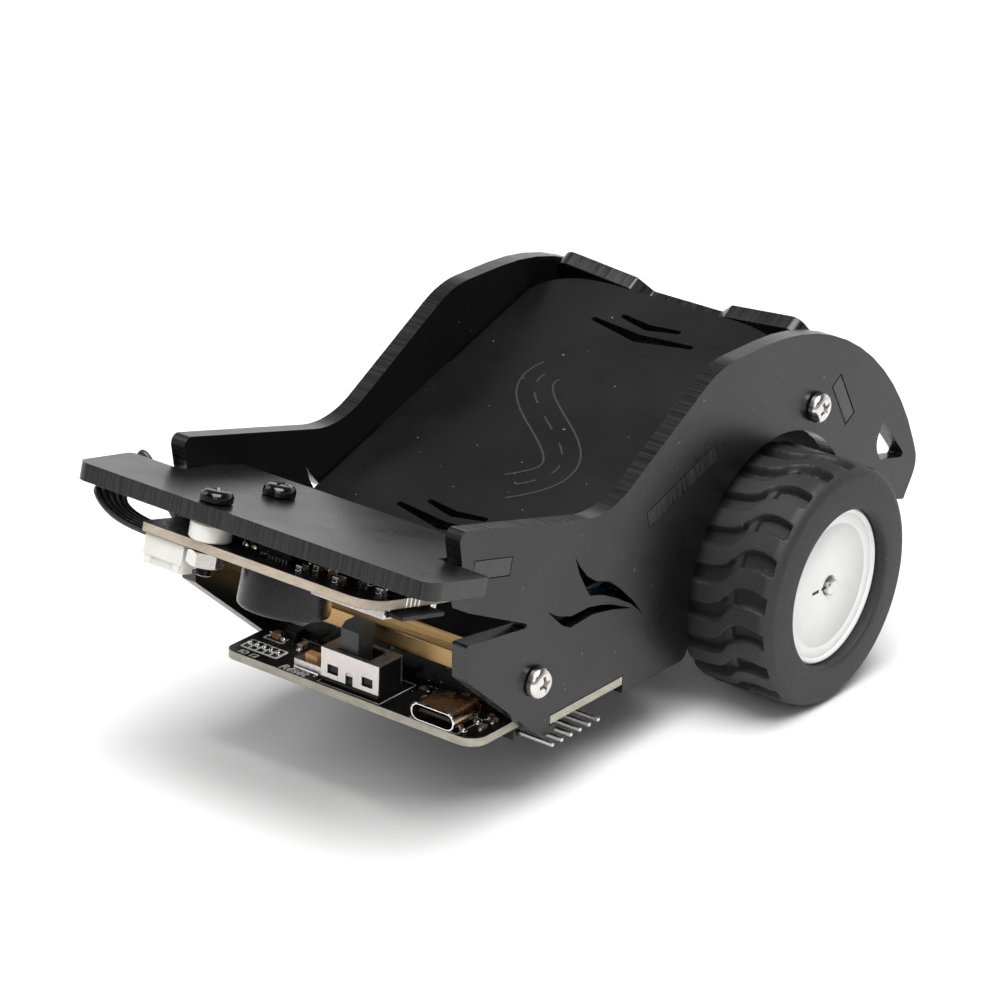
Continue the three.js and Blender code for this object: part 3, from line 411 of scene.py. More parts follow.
def add_box(bm, x0, x1, y0, y1, z0, z1, material=0, bevel=0.0):
    size = Matrix.Diagonal((x1 - x0, y1 - y0, z1 - z0, 1))
    middle = Matrix.Translation(((x0 + x1) / 2, (y0 + y1) / 2, (z0 + z1) / 2))
    made = bmesh.ops.create_cube(bm, size=1, matrix=middle @ size)
    faces = dict.fromkeys(face for vertex in made["verts"] for face in vertex.link_faces)
    for face in faces:
        face.material_index = material
    if bevel:
        edges = dict.fromkeys(edge for face in faces for edge in face.edges)
        bmesh.ops.bevel(bm, geom=list(edges), offset=bevel, segments=2, profile=0.6, affect="EDGES",
                        clamp_overlap=True, material=-1)


def add_lathe(bm, profile, steps=48, material=0, axes=None):
    """Spins (radius, height) points about Z; ends on the axis are closed."""
    rings = []
    new = []
    for radius, height in profile:
        if radius < 1e-6:
            ring = [bm.verts.new((0, 0, height))]
        else:
            ring = [bm.verts.new((u, v, height)) for u, v in circle(radius, steps)]
        rings.append(ring)
        new.extend(ring)
    for lower, upper in zip(rings, rings[1:]):
        for i in range(steps):
            corners = [lower[i % len(lower)], lower[(i + 1) % len(lower)],
                       upper[(i + 1) % len(upper)], upper[i % len(upper)]]
            corners = list(dict.fromkeys(corners))
            if len(corners) > 2:
                bm.faces.new(corners).material_index = material
    if axes is not None:
        bmesh.ops.transform(bm, matrix=axes, verts=new)
    return new


def add_tube(bm, points, radius, sides):
    """Round tube along points, with rings that turn as little as possible and closed ends."""
    points = [Vector(p) for p in points]
    tangents = []
    for i in range(len(points)):
        tangents.append((points[min(i + 1, len(points) - 1)] - points[max(i - 1, 0)]).normalized())
    side = tangents[0].orthogonal().normalized()
    rings = []
    for point, tangent in zip(points, tangents):
        side = (side - tangent * side.dot(tangent)).normalized()
        other = tangent.cross(side)
        rings.append([bm.verts.new(point + radius * (side * math.cos(TURN * k / sides)
                                                     + other * math.sin(TURN * k / sides)))
                      for k in range(sides)])
    for first, second in zip(rings, rings[1:]):
        for k in range(sides):
            bm.faces.new((first[k], first[(k + 1) % sides], second[(k + 1) % sides], second[k]))
    bm.faces.new(list(reversed(rings[0])))
    bm.faces.new(rings[-1])


def add_prism(bm, outline, z0, z1, material=0):
    """Straight prism over a closed outline of (u, v) points."""
    low = [bm.verts.new((u, v, z0)) for u, v in outline]
    high = [bm.verts.new((u, v, z1)) for u, v in outline]
    count = len(outline)
    faces = [bm.faces.new(list(reversed(low))), bm.faces.new(high)]
    for i in range(count):
        faces.append(bm.faces.new((low[i], low[(i + 1) % count], high[(i + 1) % count], high[i])))
    for face in faces:
        face.material_index = material
    return low + high


def boolean(target, tool, operation="DIFFERENCE"):
    """Applies one exact boolean to target's mesh and removes the tool."""
    modifier = target.modifiers.new("cut", "BOOLEAN")
    modifier.operation = operation
    modifier.object = tool
    modifier.solver = "EXACT"
    modifier.use_self = True
    bpy.context.view_layer.update()
    evaluated = target.evaluated_get(bpy.context.evaluated_depsgraph_get())
    mesh = bpy.data.meshes.new_from_object(evaluated)
    target.modifiers.clear()
    target.data = mesh
    bpy.data.objects.remove(tool)


def loose_object(name, bm, material):
    """Object in its own axes that serves only to be cut or to cut."""
    mesh = bpy.data.meshes.new(name)
    bm.to_mesh(mesh)
    bm.free()
    mesh.materials.append(material)
    thing = bpy.data.objects.new(name, mesh)
    bpy.context.scene.collection.objects.link(thing)
    return thing


def rounded(x0, x1, y0, y1, radius, steps=6):
    """Rounded rectangle outline, anticlockwise."""
    points = []
    for cx, cy, start in ((x1 - radius, y0 + radius, -0.25), (x1 - radius, y1 - radius, 0),
                          (x0 + radius, y1 - radius, 0.25), (x0 + radius, y0 + radius, 0.5)):
        for k in range(steps + 1):
            angle = TURN * (start + 0.25 * k / steps)
            points.append((cx + radius * math.cos(angle), cy + radius * math.sin(angle)))
    return points


def smooth_path(points, per_span=10):
    """Catmull-Rom curve with centripetal spacing through the points."""
    points = [Vector(p) for p in points]
    ends = [2 * points[0] - points[1]] + points + [2 * points[-1] - points[-2]]
    result = []
    for i in range(1, len(ends) - 2):
        p = ends[i - 1:i + 3]
        knots = [0.0]
        for a, b in zip(p, p[1:]):
            knots.append(knots[-1] + math.sqrt((b - a).length))
        for k in range(per_span):
            t = knots[1] + (knots[2] - knots[1]) * k / per_span
            rows = list(p)
            for level in (1, 2, 3):
                rows = [rows[j] * ((knots[j + level] - t) / (knots[j + level] - knots[j]))
                        + rows[j + 1] * ((t - knots[j]) / (knots[j + level] - knots[j]))
                        for j in range(len(rows) - 1)]
            result.append(rows[0])
    result.append(points[-1])
    return result


# ---------------------------------------------------------------- acrylic plates
def acrylic_plates():
    for node in ("right_side_plate", "left_side_plate"):
        refined(node, [ACRYLIC, ACRYLIC_EDGE_SIDE], 0.22, along((1, 0, 0)))
    for node, face, edge, slope in (
            ("deck_plate", ACRYLIC_DECK, ACRYLIC_EDGE_DECK, DECK_SLOPE),
            ("rear_plate", ACRYLIC_REAR, ACRYLIC_EDGE_REAR, -REAR_SLOPE),
            ("bumper_plate", ACRYLIC_BUMPER, ACRYLIC_EDGE_BUMPER, -BUMPER_SLOPE)):
        normal = Matrix.Rotation(slope, 3, "X") @ Vector((0, 0, 1))
        refined(node, [face, edge], 0.22, along(normal))


def deck_engraving():
    """Plain etched road: two lines that wind up the deck with dashes between them."""
    bm = bmesh.new()
    width = 0.34
    height = 0.05

    def middle(s):
        return Vector((9 * math.sin(TURN * 0.75 * s + 0.4), -14 + 30 * s, 0))

    def strip(points):
        for first, second in zip(points, points[1:]):
            direction = (second - first).normalized()
            normal = Vector((-direction.y, direction.x, 0)) * width / 2
            quad = [first - normal, second - normal, second + normal, first + normal]
            add_prism(bm, [(p.x, p.y) for p in quad], 0.0, height)

    steps = 40
    for side in (-3.2, 3.2):
        line = []
        for i in range(steps + 1):
            s = i / steps
            direction = (middle(s + 0.01) - middle(s - 0.01)).normalized()
            line.append(middle(s) + Vector((-direction.y, direction.x, 0)) * side)
        strip(line)
    for dash in range(6):
        start = (dash + 0.25) / 6
        strip([middle(start + 0.02 * k) for k in range(5)])
    finish_object("deck_etched_road", bm, [ENGRAVED], axes=DECK_AXES)


# ---------------------------------------------------------------- fasteners
def screw_head():
    """Pan head with a tapered cross recess, seat at z = 0, made once as a mesh to copy."""
    head_radius, head_height = 2.75, 2.0
    bm = bmesh.new()
    profile = [(0, 0), (head_radius - 0.15, 0), (head_radius, 0.15), (head_radius, 0.75)]
    for k in range(1, 9):
        angle = TURN / 4 * k / 8
        profile.append((head_radius - 1.25 + 1.25 * math.cos(angle),
                        0.75 + (head_height - 0.82) * math.sin(angle)))
    profile += [(0.8, head_height), (0, head_height)]
    add_lathe(bm, profile, 40)
    head = loose_object("screw_head", bm, STEEL)
    cutter = bmesh.new()
    depth = 1.25
    wide, narrow = 1.75, 0.75
    half, half_low = 0.36, 0.2
    for turn in (0, 1):
        low = [(-narrow, -half_low), (narrow, -half_low), (narrow, half_low), (-narrow, half_low)]
        high = [(-wide, -half), (wide, -half), (wide, half), (-wide, half)]
        spin = Matrix.Rotation(TURN / 4 * turn, 4, "Z")
        bottom = [cutter.verts.new(spin @ Vector((u, v, head_height - depth - 0.02 * turn))) for u, v in low]
        top = [cutter.verts.new(spin @ Vector((u, v, head_height + 0.4 + 0.02 * turn))) for u, v in high]
        cutter.faces.new(list(reversed(bottom)))
        cutter.faces.new(top)
        for i in range(4):
            cutter.faces.new((bottom[i], bottom[(i + 1) % 4], top[(i + 1) % 4], top[i]))
    add_lathe(cutter, [(0, head_height - 1.45), (0.45, head_height - 1.1), (0.78, head_height + 0.3),
                       (0, head_height + 0.3)], 20)
    tool = loose_object("cross_cutter", cutter, STEEL)
    boolean(head, tool)
    mesh = head.data
    bpy.data.objects.remove(head)
    return mesh


def screw(node, head_mesh, material, length, axes):
    """One screw on its own axes: head above z = 0, threaded shank below."""
    bm = bmesh.new()
    bm.from_mesh(head_mesh)
    pitch = 0.5
    outer, root = 1.45, 1.12
    profile = [(0, 0.05), (outer - 0.1, 0.05)]
    z = -0.2
    while z > -length + pitch:
        profile += [(root, z), (root, z - 0.1), (outer, z - 0.24), (outer, z - 0.3)]
        z -= pitch
    profile += [(root, z), (root - 0.2, -length), (0, -length)]
    add_lathe(bm, list(reversed(profile)), 24)
    bmesh.ops.remove_doubles(bm, verts=bm.verts, dist=1e-5)
    finish_object(f"{node}_fine", bm, [material], axes=axes, angle=28, node=node)


def hex_nut(node, axes):
    """Nut with rounded corners and a countersunk hole, its upper face at z = 0."""
    bm = bmesh.new()
    flats = 2.75
    add_prism(bm, circle(flats / math.cos(TURN / 12), 6, 0.5), -2.4, 0)
    nut = loose_object("nut_blank", bm, STEEL)
    rounding = bmesh.new()
    add_lathe(rounding, [(0, -2.4), (2.8, -2.4), (3.3, -2.0), (3.3, -0.4), (2.8, 0), (0, 0)], 48)
    boolean(nut, loose_object("nut_rounding", rounding, STEEL), "INTERSECT")
    hole = bmesh.new()
    add_lathe(hole, [(0, -3), (2.0, -3), (1.5, -2.0), (1.5, -0.4), (2.0, 0.6), (0, 0.6)], 32)
    boolean(nut, loose_object("nut_hole", hole, STEEL))
    result = bmesh.new()
    result.from_mesh(nut.data)
    bpy.data.objects.remove(nut)
    finish_object(f"{node}_fine", result, [STEEL], axes=axes, angle=25, node=node)


def nylon_spacer(node, axes):
    """Round spacer between the bumper and the sensor board."""
    bm = bmesh.new()
    top, bottom = -SHEET - CLEAR, SENSOR_TOP + CLEAR
    profile = [(1.7, bottom), (3.2, bottom), (3.5, bottom + 0.3), (3.5, top - 0.3), (3.2, top), (1.7, top),
               (1.7, bottom)]
    add_lathe(bm, profile, 48)
    bmesh.ops.remove_doubles(bm, verts=bm.verts, dist=1e-5)
    finish_object(f"{node}_fine", bm, [NYLON], axes=axes, node=node)


def fasteners():
    head = screw_head()
    for where, t, spin in (("front", BUMPER_SCREWS_T[0], 0.6), ("rear", BUMPER_SCREWS_T[1], 0.25)):
        spot = BUMPER_AXES @ Matrix.Translation((BUMPER_SCREW_X, t, CLEAR)) @ Matrix.Rotation(spin, 4, "Z")
        screw(f"bumper_screw_{where}", head, BLACK_SCREW, 12.3, spot)
        below = BUMPER_AXES @ Matrix.Translation((BUMPER_SCREW_X, t, UNDER_SENSOR - CLEAR))
        hex_nut(f"bumper_nut_{where}", below @ Matrix.Rotation(spin * 2, 4, "Z"))
        nylon_spacer(f"nylon_spacer_{where}", BUMPER_AXES @ Matrix.Translation((BUMPER_SCREW_X, t, 0)))
    for where, y, z, spin in (("front", 11.3, 8.0, 0.2), ("rear", 90.9, 32.6, 0.55)):
        for side, sign in (("right", 1), ("left", -1)):
            spot = Matrix.Translation((sign * (PLATE_OUT + CLEAR), y, z)) @ sideways(sign)
            screw(f"standoff_screw_{where}_{side}", head, STEEL, 8,
                  spot @ Matrix.Rotation(spin, 4, "Z"))
        refined(f"brass_standoff_{where}", [BRASS], 0.18)
    bpy.data.meshes.remove(head)


# ---------------------------------------------------------------- wheels
def groove_depth(angle, across):
    """Depth of the tread at an angle and a distance across from the outer shoulder, in mm."""
    share = across / TYRE_WIDTH
    arc = angle * TYRE_RADIUS
    pitch = TURN * TYRE_RADIUS / LUGS
    outer_bow = -0.9 * math.sin(math.pi * min(1, max(0, (share - 0.1) / 0.42)))
    inner_bow = 0.7 * math.sin(math.pi * min(1, max(0, (share - 0.5) / 0.5)))
    step = 2.4 / (1 + math.exp(-(share - 0.5) / 0.035))
    drift = 2.0 * share
    offset = (arc - outer_bow - inner_bow - step - drift) % pitch - pitch / 2
    half_width = 1.25 + 0.25 * math.sin(math.pi * share)
    wall = 0.28
    across_groove = min(1, max(0, (half_width + wall - abs(offset)) / (2 * wall)))
    ends = min(1, max(0, (across - 1.6) / 0.5)) * min(1, max(0, (TYRE_WIDTH - 0.4 - across) / 0.5))
    bridge = abs(across - 0.47 * TYRE_WIDTH) < 0.75
    floor = 1.0 if bridge else 1.75
    return floor * across_groove * ends


def tyre_mesh(sign):
    """Tyre about the x axis, outer side towards sign; a grid over its section and its turn."""
    section = []
    lip = HUB_RADIUS + 0.1
    face_round = 2.4
    for k in range(5):
        section.append((lip, -2.2 + 1.7 * k / 4))
    for k in range(1, 7):
        angle = TURN / 4 * k / 6
        section.append((lip + 0.8 - 0.8 * math.cos(angle), -0.5 + 0.5 * math.sin(angle)))
    flat_end = TYRE_RADIUS - face_round
    for k in range(1, 6):
        s = k / 5
        section.append((lip + 0.8 + (flat_end - lip - 0.8) * s, -0.25 * s * s))
    shoulder_steps = 12
    for k in range(1, shoulder_steps + 1):
        angle = TURN / 4 * k / shoulder_steps
        section.append((flat_end + face_round * math.sin(angle),
                        -0.25 - face_round * (1 - math.cos(angle))))
    tread_steps = 60
    tread_start = -0.25 - face_round
    tread_end = -TYRE_WIDTH + 1.8
    for k in range(1, tread_steps + 1):
        section.append((TYRE_RADIUS, tread_start + (tread_end - tread_start) * k / tread_steps))
    for k in range(1, 7):
        angle = TURN / 4 * k / 6
        section.append((TYRE_RADIUS - 1.8 * (1 - math.cos(angle)), tread_end - 1.8 * math.sin(angle)))
    section += [(16.5, -TYRE_WIDTH), (lip, -TYRE_WIDTH)]
    section += [(lip, -TYRE_WIDTH + 5), (lip, -8)]
    steps = 720
    bm = bmesh.new()
    rings = []
    for i in range(steps):
        angle = TURN * i / steps
        ring = []
        for radius, depth_x in section:
            cut = groove_depth(angle, -depth_x) if radius > flat_end + 0.6 else 0.0
            r = radius - cut
            x = sign * (TYRE_FACE + depth_x)
            ring.append(bm.verts.new((x, r * math.cos(angle), r * math.sin(angle))))
        rings.append(ring)
    count = len(section)
    for i in range(steps):
        first, second = rings[i], rings[(i + 1) % steps]
        for k in range(count):
            after = (k + 1) % count
            bm.faces.new((first[k], second[k], second[after], first[after]))
    bmesh.ops.recalc_face_normals(bm, faces=bm.faces)
    return bm


def hub_mesh(sign):
    """White hub: recessed disc with a faint ring and a boss, closed on its inner side."""
    bore = SHAFT_RADIUS + 0.25
    profile = [(bore, -8), (bore, -0.25), (SHAFT_RADIUS + 0.45, 0.0), (2.2, 0.02),
               (3.1, 0.06), (3.3, 0.0), (10.9, 0.0), (11.1, -0.12), (11.3, -0.12), (11.5, 0.0),
               (13.2, 0.0), (13.35, 0.25), (13.8, 0.45), (14.0, 0.35), (HUB_RADIUS, 0.1),
               (HUB_RADIUS, -16.2), (12.9, -16.2), (12.9, -1.8), (3.4, -1.8), (3.4, -8), (bore, -8)]
    bm = bmesh.new()
    add_lathe(bm, profile, 128, axes=Matrix.Translation((sign * HUB_FACE, 0, 0)) @ sideways(sign))
    bmesh.ops.remove_doubles(bm, verts=bm.verts, dist=1e-5)
    bmesh.ops.recalc_face_normals(bm, faces=bm.faces)
    return bm


def shaft_mesh(sign):
    """D-shaped shaft: round with one flat, lightly chamfered tip."""
    bm = bmesh.new()
    steps = 40
    flat = 1.0

    def section(x, radius):
        highest = flat if x > MOTOR_FACE + 1.5 else radius
        return [bm.verts.new((sign * x, y, min(z, highest))) for y, z in circle(radius, steps)]

    stations = [MOTOR_FACE - 3.5, MOTOR_FACE + 1.4, MOTOR_FACE + 1.6, HUB_FACE + 0.8]
    rings = [section(x, SHAFT_RADIUS) for x in stations] + [section(HUB_FACE + 1.0, SHAFT_RADIUS - 0.2)]
    for first, second in zip(rings, rings[1:]):
        for k in range(steps):
            bm.faces.new((first[k], first[(k + 1) % steps], second[(k + 1) % steps], second[k]))
    bm.faces.new(rings[0])
    bm.faces.new(rings[-1])
    bmesh.ops.recalc_face_normals(bm, faces=bm.faces)
    return bm


def wheels():
    for side, sign in (("right", 1), ("left", -1)):
        body = f"{side}_wheel"
        finish_object(f"tyre_{side}_treaded", tyre_mesh(sign), [RUBBER], body, AXLE, 45,
                      node=f"wheel_tyre_{side}")
        finish_object(f"hub_{side}_moulded", hub_mesh(sign), [WHITE_HUB], body, AXLE,
                      node=f"wheel_hub_{side}")
        finish_object(f"shaft_{side}_ground", shaft_mesh(sign), [STEEL], body, AXLE,
                      node=f"motor_shaft_{side}")
        # Thin black strip laid on the hub face beside the shaft tip: painted shadow of the shaft.
        bm = bmesh.new()
        low, high = sorted((sign * (HUB_FACE - 0.05), sign * (HUB_FACE + 0.03)))
        add_box(bm, low, high, -5.2, -SHAFT_RADIUS, -0.28, 0.28)
        finish_object(f"hub_{side}_painted_shaft_shadow", bm, [BLACK_PLASTIC], body, AXLE)


# ---------------------------------------------------------------- motors
def motor_can(side, sign):
    """Can with flattened top and bottom, plastic end cap, boss and two solder tags."""
    outer_end = MOTOR_FACE - 9.3
    inner_end = outer_end - 15
    cap_end = inner_end + 1.2
    bm = bmesh.new()
    lay = Matrix(((0, 0, sign, 0), (1, 0, 0, 0), (0, 1, 0, 0), (0, 0, 0, 1)))
    for radius, start, end, material in ((5.7, inner_end, cap_end, 1), (6.0, cap_end, outer_end, 0)):
        outline = [(u, max(-5.0, min(5.0, v))) for u, v in circle(radius, 48)]
        verts = add_prism(bm, outline, start, end, material)
        bmesh.ops.transform(bm, matrix=lay, verts=verts)
    add_lathe(bm, [(0, 0), (2.2, 0), (2.2, 0.7), (1.9, 0.9), (0, 0.9)], 32, 0,
              Matrix.Translation((sign * inner_end, 0, 0)) @ sideways(-sign))
    low, high = sorted((sign * inner_end, sign * (inner_end - 0.9)))
    for z in (-3.4, 3.4):
        add_box(bm, low, high, -0.9, 0.9, z - 0.2, z + 0.2, 2)
    bmesh.ops.recalc_face_normals(bm, faces=bm.faces)
    finish_object(f"motor_can_{side}_fine", bm, [TINPLATE, BLACK_PLASTIC, GOLD_PAD], axes=AXLE,
                  node=f"motor_can_{side}")


def gearbox(side, sign):
    """Three brass plates on four pillars, with open gears between them."""
    bm = bmesh.new()
    for start, end in ((0.0, 1.0), (4.2, 4.9), (8.2, 9.0)):
        low, high = sorted((sign * (MOTOR_FACE - end), sign * (MOTOR_FACE - start)))
        add_box(bm, low, high, -6, 6, -5, 5, 0, 0.12)
    for y in (-4.9, 4.9):
        for z in (-3.9, 3.9):
            add_lathe(bm, [(0, 0), (0.6, 0), (0.6, 8.6), (0, 8.6)], 16, 1,
                      Matrix.Translation((sign * (MOTOR_FACE - 8.8), y, z)) @ sideways(sign))
    corners = 52
    gears = ((1.3, 0, 0, 4.4), (2.9, 1.6, 0, 3.2), (5.2, -1.4, 0.6, 4.2), (6.7, 1.8, -0.4, 3.0))
    for start, y, z, radius in gears:
        tips = circle(radius, corners)
        roots = circle(radius - 0.35, corners)
        outline = [tips[k] if k % 2 else roots[k] for k in range(corners)]
        verts = add_prism(bm, outline, 0, 1.1, 2)
        x = sign * (MOTOR_FACE - start)
        lay = Matrix(((0, 0, -sign, x), (1, 0, 0, y), (0, 1, 0, z), (0, 0, 0, 1)))
        bmesh.ops.transform(bm, matrix=lay, verts=verts)
    bmesh.ops.recalc_face_normals(bm, faces=bm.faces)
    finish_object(f"gearbox_{side}_fine", bm, [BRASS, STEEL, GOLD_PAD], axes=AXLE,
                  node=f"gearbox_{side}")


def motors():
    for side, sign in (("right", 1), ("left", -1)):
        motor_can(side, sign)
        gearbox(side, sign)
        refined(f"motor_bracket_{side}", [NYLON], 0.25)


# ---------------------------------------------------------------- boards
def boards():
    refined("main_board", [MASK, BOARD_EDGE], 0.06, along((0, 0, 1)), 1)
    normal = Matrix.Rotation(-BUMPER_SLOPE, 3, "X") @ Vector((0, 0, 1))
    refined("sensor_board", [SENSOR_MASK, SENSOR_EDGE], 0.06, along(normal), 1)


def add_solder_dot(bm, x, y, z, radius, height, material=0):
    """Small dome of solder."""
    profile = [(radius, z), (radius * 0.92, z + height * 0.35), (radius * 0.7, z + height * 0.7),
               (radius * 0.35, z + height * 0.95), (0, z + height)]
    add_lathe(bm, profile, 12, material, Matrix.Translation((x, y, 0)))


def add_frame(bm, x0, x1, y0, y1, width):
    """Thin printed rectangle lying on a board."""
    top = 0.03
    add_box(bm, x0, x1, y0, y0 + width, 0, top)
    add_box(bm, x0, x1, y1 - width, y1, 0, top)
    add_box(bm, x0, x0 + width, y0, y1, 0, top)
    add_box(bm, x1 - width, x1, y0, y1, 0, top)


def add_chip(bm, x, y, length, width, height, legs, z=0.0):
    """Packaged chip, material 0, with gull-wing legs of material 1 on its two long sides."""
    add_box(bm, x - length / 2, x + length / 2, y - width / 2, y + width / 2, z + 0.12, z + height, 0, 0.06)
    half = length / legs * 0.25
    for k in range(legs):
        shift = (k - (legs - 1) / 2) * (length / legs)
        for side in (-1, 1):
            low, high = sorted((side * width / 2, side * (width / 2 + 0.65)))
            add_box(bm, x + shift - half, x + shift + half, y + low, y + high, z + 0.02, z + 0.28, 1)


def add_passive(bm, x, y, length, width, height, z=0.0, body=0, along_x=True):
    """Small two-ended part: ceramic body between tinned ends, material 1, on solder."""
    cap = length * 0.24
    inset = 0.03

    def lay(u0, u1, v0, v1, z0, z1, material, bevel=0.0):
        """Box that reaches u0 to u1 along the part and v0 to v1 across it."""
        if along_x:
            add_box(bm, x + u0, x + u1, y + v0, y + v1, z0, z1, material, bevel)
        else:
            add_box(bm, x + v0, x + v1, y + u0, y + u1, z0, z1, material, bevel)

    lay(cap - length / 2, length / 2 - cap, inset - width / 2, width / 2 - inset,
        z + 0.03, z + height - inset, body)
    for side in (-1, 1):
        low, high = sorted((side * length / 2, side * (length / 2 - cap)))
        lay(low, high, -width / 2, width / 2, z + 0.01, z + height, 1, 0.04)
        end = side * (length / 2 + 0.08)
        dx, dy = (end, 0) if along_x else (0, end)
        add_solder_dot(bm, x + dx, y + dy, z, width * 0.42, height * 0.45, 1)


def add_word(bm, text, size, spin, x, y, z):
    """Generic word printed flat on the board."""
    curve = bpy.data.curves.new("word", "FONT")
    curve.body = text
    curve.size = size
    curve.extrude = 0.015
    curve.shear = 0.2
    curve.offset = 0.04
    thing = bpy.data.objects.new("word", curve)
    bpy.context.scene.collection.objects.link(thing)
    bpy.context.view_layer.update()
    mesh = bpy.data.meshes.new_from_object(thing.evaluated_get(bpy.context.evaluated_depsgraph_get()))
    mesh.transform(Matrix.Translation((x, y, z)) @ Matrix.Rotation(spin, 4, "Z"))
    bm.from_mesh(mesh)
    bpy.data.objects.remove(thing)
    bpy.data.meshes.remove(mesh)


def main_board_details():
    """Prints, solder and small parts on the main board, placed in board millimetres from its front edge."""
    rng = random.Random(7)
    prints = bmesh.new()
    add_frame(prints, -6.9, 6.5, 0.4, 10.4, 0.16)
    add_frame(prints, 12.9, 22.8, 0.2, 7.4, 0.14)
    add_frame(prints, -21.6, -15.3, 11.6, 16.5, 0.16)
    add_frame(prints, -24.6, -20.6, 7.6, 10.9, 0.2)
    add_prism(prints, rounded(-25.4, -17.3, 2.4, 5.9, 0.5), 0.0, 0.03)
    add_word(prints, "Reset", 2.5, 0.0, -15.2, 0.3, 0.02)
    add_word(prints, "IO 12", 1.7, 0.0, -24.3, 0.5, 0.02)
    add_word(prints, "C1", 1.0, 0.0, -14.6, 8.2, 0.02)
    for k in range(3):
        add_box(prints, -12.6 + 1.2 * k, -12.0 + 1.2 * k, 9.4, 10.6, 0, 0.03)
    for k in range(4):
        add_box(prints, 8.2 + 1.1 * k, 8.9 + 1.1 * k, 11.5, 11.75, 0, 0.03)
    finish_object("main_board_print", prints, [SILKSCREEN])

    metal = bmesh.new()
    for k in range(5):
        x = -24.4 + 1.52 * k
        add_box(metal, x - 0.58, x + 0.58, 2.7, 5.6, 0.03, 0.12, 0, 0.02)
        add_solder_dot(metal, x, 4.2, 0.08, 0.5, 0.5)
    for k in range(7):
        add_box(metal, 13.6, 14.5, 8.0 + 0.1 * k, 8.05 + 0.1 * k, 0.0, 0.04)
    for x in (13.3, 22.7):
        for y in (2.2, 6.0):
            add_solder_dot(metal, x, y, 0, 0.75, 0.5)
    for k in range(12):
        add_box(metal, 15.1 + 0.5 * k, 15.35 + 0.5 * k, 7.2, 8.6, 0.0, 0.12)
    for k in range(6):
        add_solder_dot(metal, 23.1, 14 + 2.54 * k, 0, 0.85, 0.9)
    for k in range(5):
        add_solder_dot(metal, -23.7, 15.8 + 1.7 * k, 0, 0.6, 0.4)
    for k in range(26):
        x, y = rng.uniform(-24, 24), rng.uniform(7, 24)
        add_solder_dot(metal, x, y, 0, 0.22, 0.05)
    finish_object("main_board_solder", metal, [SOLDER])

    parts = bmesh.new()
    add_chip(parts, -12.2, 13.2, 5.2, 4.0, 1.5, 8)
    add_chip(parts, -18.3, 14.2, 4.4, 2.8, 1.2, 4)
    add_chip(parts, 1.5, 13.6, 4.8, 3.8, 1.4, 6)
    add_chip(parts, 13.6, 16.2, 3.0, 1.7, 1.1, 3)
    add_chip(parts, 21.9, 11.3, 2.9, 1.6, 1.1, 3)
    add_chip(parts, -20.6, 11.3, 2.6, 2.4, 1.6, 3)
    # x, y, length, width, height, and whether the part lies along x
    small = ((-22.6, 9.2, 2.4, 1.5, 1.1, True), (-16.8, 8.9, 2.0, 1.25, 0.9, False),
             (-15.0, 14.6, 1.6, 0.8, 0.6, True), (-6.8, 10.6, 1.6, 0.8, 0.5, False),
             (-4.6, 10.6, 1.6, 0.8, 0.5, False), (8.5, 9.9, 1.6, 0.8, 0.6, True),
             (11.4, 9.9, 1.6, 0.8, 0.6, True), (24.6, 5.0, 1.6, 0.8, 0.6, False),
             (24.6, 8.2, 1.6, 0.8, 0.6, False), (23.2, 9.0, 1.6, 0.8, 0.6, False),
             (11.2, 4.0, 1.6, 0.8, 0.6, False), (11.0, 7.2, 1.6, 0.8, 0.6, True),
             (18.0, 11.2, 2.0, 1.25, 0.9, True), (15.4, 12.6, 1.6, 0.8, 0.6, True))
    for x, y, length, width, height, along_x in small:
        add_passive(parts, x, y, length, width, height, 0.0, 2, along_x)
    for k in range(10):
        x = -18 + 4 * k
        add_passive(parts, x, 20.4, 1.6, 0.8, 0.55, 0.0, 0 if k % 2 else 2, bool(k % 3))
    finish_object("main_board_parts", parts, SMALL_PARTS)
    refined("controller_chip", [BLACK_PLASTIC], 0.1)
    rear = bmesh.new()
    for k in range(12):
        for x in (-4.5, 6.3):
            add_box(rear, x - 0.5, x + 0.5, 60.5 + 0.8 * k, 60.8 + 0.8 * k, 0.02, 0.25, 1)
    for k in range(14):
        x, y = -18 + (k % 7) * 6, 94 + 5 * (k // 7)
        add_passive(rear, x, y, 2.0, 1.25, 0.8, 0.0, 2 if k % 3 else 0, bool(k % 2))
    finish_object("rear_board_parts", rear, SMALL_PARTS)


